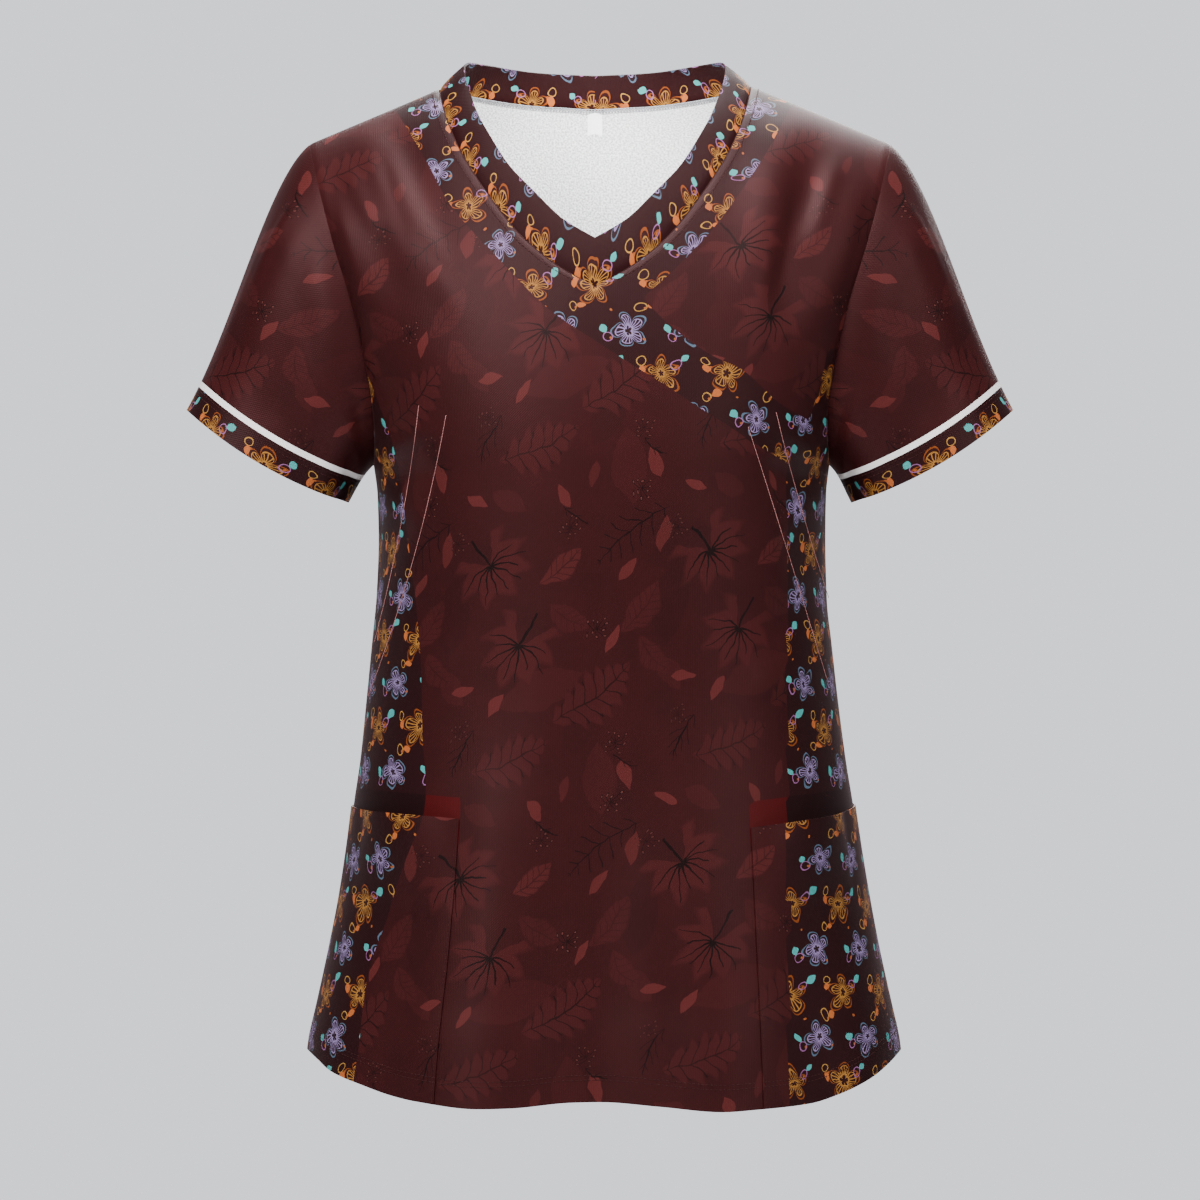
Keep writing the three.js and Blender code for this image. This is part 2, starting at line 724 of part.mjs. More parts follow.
// Size label: hangs on the inside of the back from the neck seam
{
  const rows = [];
  const lowRow = NECK_START['1'] - 1;
  for (const share of [0.42, 0.7, 0.97]) {
    const row = [];
    for (const across of [-0.4, 0, 0.4]) {
      const half = halves[`1${across < 0 ? -1 : 1}`];
      const at = (i) => {
        const inner = sheet.points[sheet.idOf(half[i][0])].clone();
        return inner.lerp(sheet.points[sheet.idOf(half[i][1])], Math.abs(across));
      };
      const p = at(lowRow).lerp(at(lowRow + 1), share);
      const n = normals[sheet.idOf(half[lowRow + 1][0])].clone().lerp(normals[sheet.idOf(half[lowRow][0])], 1 - share);
      row.push(p.addScaledVector(n.normalize(), -(CLOTH / 2 + SEAM_GAP + 0.1 + LABEL_CLOTH / 2)));
    }
    rows.push(row);
  }
  const tag = new Surface();
  tag.add('size_label', gridFaces(rows, true));
  addPiece('size_label', wall(tag.points, tag.normals(), tag.pieces.get('size_label'), LABEL_CLOTH, 0), WHITE);
}

export default group;
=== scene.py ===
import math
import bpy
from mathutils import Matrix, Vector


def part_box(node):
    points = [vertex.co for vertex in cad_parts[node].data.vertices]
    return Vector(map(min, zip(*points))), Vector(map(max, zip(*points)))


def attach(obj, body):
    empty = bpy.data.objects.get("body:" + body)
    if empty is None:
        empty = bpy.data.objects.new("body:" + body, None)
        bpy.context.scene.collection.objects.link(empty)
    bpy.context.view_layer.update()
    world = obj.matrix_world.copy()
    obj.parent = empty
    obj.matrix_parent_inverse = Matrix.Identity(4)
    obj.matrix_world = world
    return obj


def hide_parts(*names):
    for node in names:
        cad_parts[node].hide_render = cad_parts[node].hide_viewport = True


bl_info = {
    "name": "Scrub top",
    "version": (1, 0, 0),
    "blender": (4, 5, 0),
    "location": "3D View > Sidebar > Scrub top",
    "description": "Dresses a V-neck scrub top: cloth, prints, seams and sewing",
    "category": "Mesh",
}

import bpy
from mathutils import Vector

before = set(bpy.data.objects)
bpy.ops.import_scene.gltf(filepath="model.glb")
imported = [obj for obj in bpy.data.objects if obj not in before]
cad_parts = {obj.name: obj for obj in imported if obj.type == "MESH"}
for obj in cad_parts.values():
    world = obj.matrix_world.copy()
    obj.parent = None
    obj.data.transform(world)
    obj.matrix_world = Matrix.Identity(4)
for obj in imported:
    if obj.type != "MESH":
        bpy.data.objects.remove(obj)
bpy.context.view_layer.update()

# Lengths below are millimetres, +Z up and the front towards -Y, as in the solids.
MM = 0.001


class Table:
    """A short table whose columns are read smoothly, without overshoot."""

    def __init__(self, columns, rows):
        self.columns = columns
        self.rows = rows
        self.curves = {}

    def curve(self, key, column):
        if (key, column) not in self.curves:
            k = self.columns.index(key)
            c = self.columns.index(column)
            pairs = sorted((row[k], row[c]) for row in self.rows)
            xs = [p[0] for p in pairs]
            ys = [p[1] for p in pairs]
            steps = [(ys[i + 1] - ys[i]) / (xs[i + 1] - xs[i]) for i in range(len(xs) - 1)]
            slopes = [steps[0]]
            for a, b in zip(steps, steps[1:]):
                slopes.append(0.0 if a * b <= 0 else 2 * a * b / (a + b))
            slopes.append(steps[-1])
            self.curves[(key, column)] = (xs, ys, slopes)
        return self.curves[(key, column)]

    def at(self, key, column, where):
        xs, ys, slopes = self.curve(key, column)
        t = min(max(where, xs[0]), xs[-1])
        k = 0
        while k < len(xs) - 2 and t > xs[k + 1]:
            k += 1
        h = xs[k + 1] - xs[k]
        s = (t - xs[k]) / h
        s2 = s * s
        s3 = s2 * s
        return (
            (2 * s3 - 3 * s2 + 1) * ys[k]
            + (s3 - 2 * s2 + s) * h * slopes[k]
            + (3 * s2 - 2 * s3) * ys[k + 1]
            + (s3 - s2) * h * slopes[k + 1]
        )


# Heights of the main lines and the roundness of the body
ARMPIT_Z = -240.0
RING_POWER = 2.25
ROLL = {-1: 1.8, 1: 1.9}
SHOULDER_NECK = 101.0
SHOULDER_TOP = 17.0
SHOULDER_FALL = 0.42
SHOULDER_TIP = 198.0
NECK_SHIFT = -3.5
ARMPIT_HALF = 154.2
SKIRT_LONG = 430.0
HEM_LEVEL = -670.0
# Width of half a panel, and the cloth's length below and above the lowest point of the neck seam
PANEL_WIDE = 232.0
YOKE_LONG = {-1: (118.0, 190.0), 1: (238.0, 100.0)}
# Gap at a seam, and the closer rows of points beside it
SEAM_GAP = 0.02
SEAM_ROWS = (0.7, 1.5, 2.8)
# Half width over which the centre line is rounded
MIDDLE_ROUND = 24.0
# The marks say how many millimetres inside a print's edge a point lies, up to this reach
MARK_REACH = 20.0
# The same mark where the dark print is near but stops
MARK_NEAR = -8.0

# Body rings: height, half width left and right, depth in front and behind
RINGS = Table(
    ("z", "left", "right", "front", "back"),
    (
        (-690, 206, 211, 137, 130),
        (-632, 196.5, 202, 134, 127),
        (-605, 190.4, 196, 132, 124),
        (-571, 183, 188.5, 131, 121),
        (-537, 176.3, 182, 129.5, 117),
        (-503, 171, 176.3, 128, 113),
        (-469, 166.6, 171.2, 126.5, 109),
        (-442, 162.6, 166.8, 125.5, 106),
        (-401, 158.4, 161.4, 125, 103.5),
        (-360, 154.4, 156.8, 126, 104.5),
        (-333, 151.8, 154, 127.5, 107),
        (-292, 150.2, 153, 129.5, 112),
        (-262, 151, 153.4, 130.3, 116),
        (-240, 153.7, 155.7, 130.5, 118),
    ),
)

ARMHOLE = Table(
    ("up", "x"),
    (
        (0, ARMPIT_HALF), (0.08, 154), (0.17, 155), (0.34, 161),
        (0.49, 168.5), (0.68, 181), (0.83, 189.5), (1, SHOULDER_TIP),
    ),
)

NECK_SEAM = {
    -1: Table(
        ("x", "z"),
        ((0, -121), (27, -105.5), (51, -85), (73, -57), (85.5, -38), (93, -24.5), (102.5, 0), (106, 14.9)),
    ),
    1: Table(("x", "z"), ((0, 1.4), (40, 3.2), (83, 9.6), (106, 14.9))),
}

# Free edge of the neckband from the V round to the middle of the back
FRONT_EDGE = (
    (0, -102, -88),
    (22, -97, -75),
    (40, -88.5, -57.5),
    (58, -76, -38.7),
    (71, -61, -18.5),
    (79, -47, -4),
    (84.5, -32, 10),
    (88, -17, 22),
    (88.5, -2, 29.6),
)
BACK_EDGE = ((88.5, -2, 29.6), (85, 13, 32), (72, 30, 30.5), (40, 52, 26), (0, 60, 24))

HEM = {
    -1: Table(
        ("x", "z"),
        (
            (-206, -636), (-194, -645), (-184, -652.8), (-163, -661.6), (-143, -668.4), (-122, -673),
            (-82, -678), (-61, -677.3), (-20, -673), (0, -672.5), (41, -676), (82, -680),
            (102, -678.6), (143, -673.9), (163, -667.8), (184, -657.6), (196, -649), (211, -636),
        ),
    ),
    1: Table(("x", "z"), ((-206, -636), (-150, -652), (0, -664), (150, -652), (211, -636))),
}

POCKET_SEAM = Table(
    ("z", "left", "right"),
    (
        (-690, 112, 109.5),
        (-640, 108, 107.4),
        (-570, 100.6, 104.5),
        (-486, 94.8, 101.3),
        (-440, 93, 99),
        (-240, 82, 84),
    ),
)

# Long folds of a panel: its face, the ends of the fold line, reach each way, height outward
FOLDS = (
    (-1, -160, -14, -112, -128, 17, 3.2),
    (-1, -140, -14, -96, -110, 13, -2.2),
    (-1, -183, -60, -148, -160, 15, 2.4),
    (-1, 124, -8, 100, -176, 19, 3.4),
    (-1, 146, -20, 120, -150, 13, -2.8),
    (-1, 176, -50, 140, -170, 15, 2.4),
    (-1, -124, -215, -150, -330, 13, -2.6),
    (-1, 118, -215, 150, -350, 13, -2.6),
    (1, -60, -60, -96, -230, 22, 3),
    (1, 60, -60, 92, -240, 22, 3),
    (1, -20, -250, 20, -420, 26, -3),
    (1, -90, -270, -116, -400, 18, -2.8),
    (1, 90, -280, 120, -410, 18, -2.8),
)

# Finer creases that the solids leave out
CREASES = (
    (-1, -172, -40, -150, -84, 7, 1.4),
    (-1, -150, -30, -128, -92, 6, -1.2),
    (-1, -120, -70, -92, -150, 10, 1.2),
    (-1, 160, -34, 140, -104, 7, 1.5),
    (-1, 134, -60, 116, -140, 7, -1.3),
    (-1, -148, -236, -112, -214, 7, 1.6),
    (-1, -146, -252, -104, -246, 8, -1.5),
    (-1, -144, -272, -110, -282, 9, 1.2),
    (-1, 148, -236, 114, -210, 7, 1.6),
    (-1, 148, -254, 106, -244, 8, -1.5),
    (-1, 146, -276, 112, -288, 9, 1.2),
    (-1, -138, -330, -104, -352, 12, -1.2),
    (-1, -136, -372, -96, -380, 13, 1.2),
    (-1, 140, -340, 104, -362, 12, -1.2),
    (-1, 138, -384, 98, -392, 13, 1.2),
    (-1, -40, -330, -52, -520, 20, 1.3),
    (-1, 46, -350, 58, -540, 20, -1.3),
    (-1, -76, -440, -70, -640, 14, 1.2),
    (-1, 30, -500, 34, -668, 13, 1.4),
    (-1, -34, -520, -38, -668, 12, -1.4),
    (1, -150, -230, -96, -206, 10, 2),
    (1, -148, -256, -88, -250, 11, -1.8),
    (1, 150, -230, 96, -204, 10, 2),
    (1, 148, -258, 90, -250, 11, -1.8),
    (1, -130, -330, -50, -352, 14, 2),
    (1, -126, -366, -40, -376, 14, -1.8),
    (1, 132, -336, 46, -356, 14, 2),
    (1, 128, -372, 52, -386, 14, -1.8),
    (1, -70, -400, -96, -560, 16, 1.6),
    (1, 70, -410, 90, -570, 16, -1.6),
    (1, -30, -20, -44, -150, 20, 1.4),
    (1, 34, -24, 50, -160, 20, 1.4),
)

# Flutes of the skirt: face, place at the hem, where it starts, reach, height at the hem
FLUTES = (
    (-1, -88, -400, 33, 6),
    (-1, -2, -360, 38, -8),
    (-1, 88, -390, 34, 6.5),
    (-1, -146, -500, 22, -3.2),
    (-1, 150, -500, 22, -3.2),
    (1, -112, -420, 30, 6),
    (1, -62, -430, 24, -6),
    (1, -10, -390, 34, 7),
    (1, 50, -440, 26, -6),
    (1, 106, -410, 32, 6.5),
)

# Sleeve end and the folds of a sleeve: way round from the top, start, end, reach, height
CUFF_X = 226.0
CUFF_Z = -235.5
CUFF_WIDE = 63.0
CUFF_DEEP = 46.0
CUFF_TILT = 29.8
CUFF_DROOP = 7.0
CUFF_BAND = 18.0
SLEEVE_LONG = 170.0
SLEEVE_ROUND = 360.0
SLEEVE_FOLDS = (
    (0.1, 0.05, 0.6, 0.045, 3.2),
    (0.22, 0.1, 0.8, 0.05, -3),
    (0.36, 0.15, 0.95, 0.05, 3),
    (0.64, 0.1, 0.9, 0.05, 3),
    (0.78, 0.1, 0.8, 0.05, -3),
    (0.9, 0.05, 0.6, 0.045, 2.6),
)
SLEEVE_CREASES = (
    (0.085, 0.05, 0.45, 0.012, 1.6),
    (0.06, 0.2, 0.75, 0.022, 1.2),
    (0.16, 0.0, 0.35, 0.02, -1.0),
    (0.29, 0.3, 0.9, 0.024, 1.1),
    (0.43, 0.35, 1.0, 0.024, -1.3),
    (0.57, 0.35, 1.0, 0.024, -1.3),
    (0.7, 0.2, 0.8, 0.026, 1.2),
    (0.84, 0.0, 0.4, 0.022, -1.0),
    (0.95, 0.2, 0.7, 0.022, 1.0),
)

# Edges of the dark printed bands of the front, seen from the front
BAND_LOW = Table(
    ("x", "z"),
    (
        (-175, 70), (-138, -1.4), (-120.4, -30.6), (-101.3, -65.3), (-72, -98.6), (-32.6, -138),
        (-1.4, -159), (23, -174.8), (44.9, -188.4), (65.3, -202), (85, -214.2), (103.4, -226.4),
        (127.2, -240.7),
    ),
)
STRIP_RIGHT = Table(
    ("z", "x"),
    (
        (30, 141), (8.2, 134), (2, 129.9), (-28.6, 113.6), (-53.7, 97.2), (-79.6, 78.2), (-100.6, 59.2),
        (-126.5, 31.3), (-150, 2),
    ),
)
BAND_TOP = Table(
    ("x", "z"),
    (
        (10, -118), (28.6, -129.9), (49, -148.9), (76.2, -168), (95.2, -176.8), (122.4, -200.6),
        (141.4, -211.5),
    ),
)
SIDE_LEFT = Table(
    ("z", "x"),
    (
        (-690, -122), (-495, -121), (-462, -117.6), (-428, -119.7), (-379, -121), (-335, -124.4),
        (-309, -127.8), (-285, -130.6), (-239, -137.4), (-193, -152.3), (-163, -165),
    ),
)
POCKET_SIDE_LEFT = Table(
    ("z", "x"),
    (
        (-690, -170), (-657.6, -166.6), (-637, -163.2), (-617, -161.2), (-595.7, -158.4), (-578, -154.4),
        (-550, -144.2), (-525, -136.7), (-504.6, -129.2), (-482, -120.4), (-460, -117.6),
    ),
)
SIDE_RIGHT = Table(
    ("z", "x"),
    (
        (-690, 152), (-669, 151), (-625, 148.2), (-588, 146.2), (-546.7, 142.8), (-517.5, 139.4),
        (-489.6, 136), (-464, 134.6), (-433, 132.6), (-390, 129.9), (-338, 127.8), (-290, 129.9),
        (-245.5, 129.9), (-211.5, 141.4), (-191, 147.6), (-162.5, 155),
    ),
)
# Darts: the top, the middle and the low end of each, as x and z seen from the front
DARTS = (
    ((-122.4, -201.3), (-134.5, -282), (-153, -363)),
    ((-104, -208), (-125.5, -303.5), (-157, -399)),
    ((100, -216), (127.5, -303), (154.4, -390)),
    ((119, -206), (135.5, -269), (155, -332)),
)


def smooth(t):
    """Soft step from 0 to 1."""
    t = min(max(t, 0.0), 1.0)
    return t * t * (3 - 2 * t)


def quarter(width, depth, end):
    """Quarter of a body ring from the middle out, as points with their length along it."""
    steps = 90
    stop = math.asin(end ** (RING_POWER / 2))
    power = 2 / RING_POWER
    points = []
    length = 0.0
    for i in range(steps + 1):
        angle = math.pi / 2 + (stop - math.pi / 2) * i / steps
        x = width * max(math.cos(angle), 0.0) ** power
        y = depth * max(math.sin(angle), 0.0) ** power
        if points:
            length += math.hypot(x - points[-1][0], y - points[-1][1])
        points.append((x, y, length))
    return points


def along(section, share):
    """Point at a share of a section's length."""
    want = min(max(share, 0.0), 1.0) * section[-1][2]
    lo, hi = 0, len(section) - 1
    while hi - lo > 1:
        mid = (lo + hi) // 2
        if section[mid][2] < want:
            lo = mid
        else:
            hi = mid
    a, b = section[lo], section[hi]
    t = (want - a[2]) / max(b[2] - a[2], 1e-12)
    return a[0] + (b[0] - a[0]) * t, a[1] + (b[1] - a[1]) * t


SECTIONS = {}


def skirt_section(face, side, z):
    """Ring quarter at a whole millimetre of height."""
    if (face, side, z) not in SECTIONS:
        width = RINGS.at("z", "left" if side < 0 else "right", z)
        depth = RINGS.at("z", "front" if face < 0 else "back", z)
        SECTIONS[(face, side, z)] = quarter(width, depth, 0.0)
    return SECTIONS[(face, side, z)]


def skirt_point(face, side, share, z):
    """Point and distance from the middle on the body below the armpits."""
    low = math.floor(z)
    t = z - low
    a = skirt_section(face, side, low)
    b = skirt_section(face, side, low + 1)
    xa, ya = along(a, share)
    xb, yb = along(b, share)
    length = a[-1][2] + (b[-1][2] - a[-1][2]) * t
    place = Vector((side * (xa + (xb - xa) * t), face * (ya + (yb - ya) * t), z))
    return place, side * share * length, length


class YokeRow:
    """One row of the body above the armpits."""

    def __init__(self, face, side, up):
        roll = ROLL[face]
        depth = RINGS.at("z", "front" if face < 0 else "back", ARMPIT_Z)
        depth *= max(1 - up ** roll, 0.0) ** (1 / roll)
        held = 0.72 * up ** 0.38
        ring = RINGS.at("z", "left" if side < 0 else "right", ARMPIT_Z)
        seam = ARMHOLE.at("up", "x", up) + (ring - ARMPIT_HALF) * (1 - smooth(up / 0.2))
        width = seam / (1 - held ** RING_POWER) ** (1 / RING_POWER)
        self.face, self.side, self.up = face, side, up
        self.section = quarter(width, max(depth, 1e-9), held)
        self.length = self.section[-1][2]

    def point(self, share):
        x, y = along(self.section, share)
        shoulder = SHOULDER_TOP - SHOULDER_FALL * (SHOULDER_TIP * share - SHOULDER_NECK)
        drift = NECK_SHIFT * (1 - share) ** 2 * smooth(self.up / 0.35)
        return Vector((self.side * x + drift, self.face * y, ARMPIT_Z + self.up * (shoulder - ARMPIT_Z)))

    def neck_share(self):
        """Share of the row at which the neck seam cuts it."""
        table = NECK_SEAM[self.face]

        def beyond(share):
            p = self.point(share)
            if p.z <= table.rows[0][1]:
                return True
            return self.side * (p.x - NECK_SHIFT) > table.at("z", "x", p.z)

        if beyond(0.0):
            return 0.0
        lo, hi = 0.0, 0.8
        for _ in range(30):
            mid = (lo + hi) / 2
            if beyond(mid):
                hi = mid
            else:
                lo = mid
        return (lo + hi) / 2


def fold_sum(rows, face, x, z):
    """Height of all folds of a panel at one place."""
    total = 0.0
    for panel, x0, z0, x1, z1, reach, height in rows:
        if panel != face:
            continue
        dx, dz = x1 - x0, z1 - z0
        length = math.hypot(dx, dz)
        off = ((x - x0) * dz - (z - z0) * dx) / length / reach
        if abs(off) > 3:
            continue
        t = ((x - x0) * dx + (z - z0) * dz) / (length * length)
        if t < -0.1 or t > 1.1:
            continue
        total += height * math.exp(-off * off) * smooth((t + 0.1) / 0.35) * (1 - smooth((t - 0.65) / 0.45))
    return total


def flute_sum(face, x, z):
    """Height of the skirt's flutes at one place."""
    total = 0.0
    for panel, place, top, reach, height in FLUTES:
        if panel != face or z > top:
            continue
        grown = smooth((top - z) / (top + 650))
        off = (x - place * (1 - 0.2 * (1 - grown))) / reach
        total += height * math.exp(-off * off) * grown
    return total


class Spot:
    """One point of a cloth grid with its place on the flat print."""

    __slots__ = ("p", "u", "v", "seam", "n", "marks", "rest")

    def __init__(self, p, u, v, seam=99.0):
        self.p = p
        self.rest = p.z
        self.u = u
        self.v = v
        self.seam = seam
        self.n = Vector((0, 0, 1))
        self.marks = {}


def grid_normals(grid, flip):
    """Normals of a grid from the points beside each point."""
    rows, cols = len(grid), len(grid[0])
    for i in range(rows):
        for j in range(cols):
            a = grid[i][max(j - 1, 0)].p
            b = grid[i][min(j + 1, cols - 1)].p
            c = grid[max(i - 1, 0)][j].p
            d = grid[min(i + 1, rows - 1)][j].p
            n = (b - a).cross(d - c)
            if n.length > 1e-12:
                n.normalize()
            grid[i][j].n = -n if flip else n


def running(points):
    """Length along a line at each of its points."""
    lengths = [0.0]
    for a, b in zip(points, points[1:]):
        lengths.append(lengths[-1] + (b - a).length)
    return lengths


def spaced(length, step, fine_start, fine_end):
    """Shares along a length, closer together at an end that is sewn."""
    edges = [0.0]
    if fine_start:
        edges += SEAM_ROWS
    start = edges[-1]
    stop = length - (SEAM_ROWS[-1] if fine_end else 0.0)
    count = max(2, round((stop - start) / step))
    edges += [start + (stop - start) * k / count for k in range(1, count + 1)]
    if fine_end:
        edges += [length - e for e in (SEAM_ROWS[1], SEAM_ROWS[0], 0.0)]
    return [min(e / length, 1.0) for e in edges]


def panel_columns(step):
    """Shares at which half a panel has its columns of points."""
    return spaced(PANEL_WIDE, step, False, True)


def half_panel(face, side, step):
    """Half of the front or the back as a grid of rows from the hem to the shoulder."""
    columns = panel_columns(step)
    roll = ROLL[face]
    peak = SHOULDER_TOP + SHOULDER_FALL * SHOULDER_NECK
    low = (NECK_SEAM[face].rows[0][1] - ARMPIT_Z) / (peak - ARMPIT_Z)
    turn = math.asin(low ** (roll / 2))
    below, above = (max(6, round(length / step)) for length in YOKE_LONG[face])
    turns = [turn * k / below for k in range(below + 1)]
    turns += [turn + (math.pi / 2 - turn) * k / above for k in range(1, above + 1)]
    yoke_ups = [math.sin(a) ** (2 / roll) for a in turns]
    yoke_ups[-1] = 1.0
    grid = []
    count = round(SKIRT_LONG / step)
    hem_z = []
    for share in columns:
        edge, _, _ = skirt_point(face, side, share, HEM_LEVEL)
        hem_z.append(HEM[face].at("x", "z", edge.x))
    for i in range(count):
        row = []
        for share, bottom in zip(columns, hem_z):
            z = bottom + (ARMPIT_Z - bottom) * i / count
            p, u, length = skirt_point(face, side, share, z)
            row.append(Spot(p, u, z - ARMPIT_Z, (1 - share) * length))
        grid.append(row)
    for up in yoke_ups:
        yoke = YokeRow(face, side, up)
        start = yoke.neck_share()
        row = []
        for share in columns:
            here = start + (1 - start) * share
            reach = (1 - here) * yoke.length
            if start > 0:
                reach = min(reach, (here - start) * yoke.length)
            row.append(Spot(yoke.point(here), side * here * yoke.length, 0.0, reach))
        grid.append(row)
    for j in range(len(columns)):
        run = 0.0
        for i in range(count + 1, len(grid)):
            step = (grid[i][j].p - grid[i - 1][j].p).length
            aside = grid[i][j].u - grid[i - 1][j].u
            run += math.sqrt(max(step * step - aside * aside, 0.04 * step * step))
            grid[i][j].v = run
        for i in range(count + 1, len(grid)):
            grid[i][j].seam = min(grid[i][j].seam, run - grid[i][j].v)
    if face < 0:
        point = grid[count + below][0].p
        for row in grid[count:]:
            for spot in row[:12]:
                spot.seam = min(spot.seam, (spot.p - point).length)
    grid_normals(grid, face * side > 0)
    return grid, count, count + below


def moved(spot, towards, length=SEAM_GAP / 2):
    """The same spot a little nearer to its neighbour."""
    way = towards.p - spot.p
    twin = Spot(spot.p, spot.u, spot.v, spot.seam)
    twin.n = spot.n
    twin.marks = spot.marks
    if way.length > 1e-9:
        twin.p = spot.p + way.normalized() * min(length, way.length * 0.4)
    return twin


def trimmed(grid, cut):
    """A panel drawn back by half the seam gap at the sides, the shoulder and, above row cut, the neck."""
    rows = [list(row) for row in grid]
    for i, row in enumerate(rows):
        row[-1] = moved(row[-1], row[-2])
        if i > cut:
            row[0] = moved(row[0], row[1])
    rows[-1] = [moved(a, b) for a, b in zip(rows[-1], rows[-2])]
    return rows


def rounded_middle(grid, side, cut):
    """Round the ridge that the yoke's rows would make where both halves meet."""
    middle = grid[0][0].p.x
    slope = 0.0
    for i, row in enumerate(grid):
        if i <= cut:
            slope = max(side * row[3].n.x / max(abs(row[3].n.y), 0.3), 0.0)
            middle = row[0].p.x
        for spot in row:
            near = MIDDLE_ROUND - abs(spot.p.x - middle)
            if near > 0:
                spot.p = spot.p - spot.n * (slope * near * near / (2 * MIDDLE_ROUND))


def seam_dip(distance):
    """How far the thread draws the cloth in at a distance from a seam."""
    return -0.8 * math.exp(-((distance / 2.1) ** 2))


def drape(grid, face, fine):
    """Give a panel its folds, with a shallow dip along its seams."""
    for row in grid:
        for spot in row:
            x, z = spot.p.x, spot.p.z
            lift = fold_sum(FOLDS, face, x, z) + flute_sum(face, x, z)
            lift += fine * fold_sum(CREASES, face, x, z)
            keep = smooth(spot.seam / 14.0)
            spot.p = spot.p + spot.n * (lift * keep + seam_dip(spot.seam))


def front_marks(x, z, pocket):
    """How far inside the dark print a place of the front lies."""
    outside = 30.0
    low = (z - BAND_LOW.at("x", "z", x)) * 0.8 if x < 127.5 else outside
    strip = (x - STRIP_RIGHT.at("z", "x", z)) * 0.8 if z > -150 else outside
    top = (z - BAND_TOP.at("x", "z", x)) * 0.78
    leaf_right = min(strip, top) if x > 5 else -outside
    band = min(low, -leaf_right)
    if z < -245 and x < 120:
        band = -outside
    side_left = (POCKET_SIDE_LEFT if pocket else SIDE_LEFT).at("z", "x", z) - x
    if z > -163:
        side_left = MARK_NEAR
    side_right = x - SIDE_RIGHT.at("z", "x", z)
    if z > -162.5:
        side_right = MARK_NEAR
    return max(-MARK_REACH, min(MARK_REACH, max(band, side_left, side_right)))


def back_marks(x, z):
    """How far inside the dark print a place of the back lies."""
    slope = -0.05 if z < ARMPIT_Z else 0.35
    edge = 128 + slope * (z - ARMPIT_Z)
    dark = abs(x) - edge
    if z > -165:
        dark = MARK_NEAR
    return max(-MARK_REACH, min(MARK_REACH, dark))


def cloth_mesh(name, parts, thickness, materials):
    """A thin closed shell from grids of spots: outside, white inside, and the cut edges."""
    spots = []
    index = {}
    faces = []
    places = []
    for grid, flip in parts:
        ids = []
        for row in grid:
            line = []
            for spot in row:
                key = tuple(round(c * 200) for c in spot.p)
                if key not in index:
                    index[key] = len(spots)
                    spots.append(spot)
                line.append((index[key], spot.u * MM, spot.v * MM))
            ids.append(line)
        for i in range(len(ids) - 1):
            for j in range(len(ids[0]) - 1):
                quad = [ids[i][j], ids[i][j + 1], ids[i + 1][j + 1], ids[i + 1][j]]
                ring = [q for k, q in enumerate(quad) if q[0] != quad[k - 1][0]]
                if len({q[0] for q in ring}) > 2:
                    ring = ring[::-1] if flip else ring
                    faces.append([q[0] for q in ring])
                    places.append([(q[1], q[2]) for q in ring])
    sums = [Vector((0, 0, 0)) for _ in spots]
    for ring in faces:
        a, b, c = (spots[k].p for k in ring[:3])
        n = (b - a).cross(c - a)
        if len(ring) > 3:
            n = n + (c - a).cross(spots[ring[3]].p - a)
        for k in ring:
            sums[k] += n
    count = len(spots)
    edges = {}
    for ring, spread in zip(faces, places):
        for k, a in enumerate(ring):
            b = ring[(k + 1) % len(ring)]
            if (b, a) in edges:
                del edges[(b, a)]
            else:
                edges[(a, b)] = (spread[k], spread[(k + 1) % len(ring)])
    half = thickness / 2
    points = [(s.p + n.normalized() * half) * MM for s, n in zip(spots, sums)]
    points += [(s.p - n.normalized() * half) * MM for s, n in zip(spots, sums)]
    polygons = faces + [[count + k for k in reversed(ring)] for ring in faces]
    polygons += [[b, a, count + a, count + b] for a, b in edges]
    places += [ring[::-1] for ring in places]
    places += [[b, a, a, b] for a, b in edges.values()]
    mesh = bpy.data.meshes.new(name)
    mesh.from_pydata([tuple(p) for p in points], [], polygons)
    slots = [0] * len(faces) + [1] * len(faces) + [0] * len(edges)
    mesh.polygons.foreach_set("material_index", slots)
    mesh.polygons.foreach_set("use_smooth", [True] * len(polygons))
    for material in materials:
        mesh.materials.append(material)
    layer = mesh.uv_layers.new(name="print")
    layer.uv.foreach_set("vector", [c for ring in places for place in ring for c in place])
    for mark in sorted(spots[0].marks):
        values = mesh.attributes.new(mark, "FLOAT", "POINT")
        column = [s.marks[mark] for s in spots]
        values.data.foreach_set("value", column + column)
    mesh.update()
    mesh.set_sharp_from_angle(angle=math.radians(50))
    obj = bpy.data.objects.new(name, mesh)
    bpy.context.collection.objects.link(obj)
    return obj


# Materials


def linear(code):
    """sRGB hex to the linear colour that the shader wants."""
    parts = []
    for k in (1, 3, 5):
        c = int(code[k:k + 2], 16) / 255
        parts.append(c / 12.92 if c <= 0.04045 else ((c + 0.055) / 1.055) ** 2.4)
    return (*parts, 1.0)


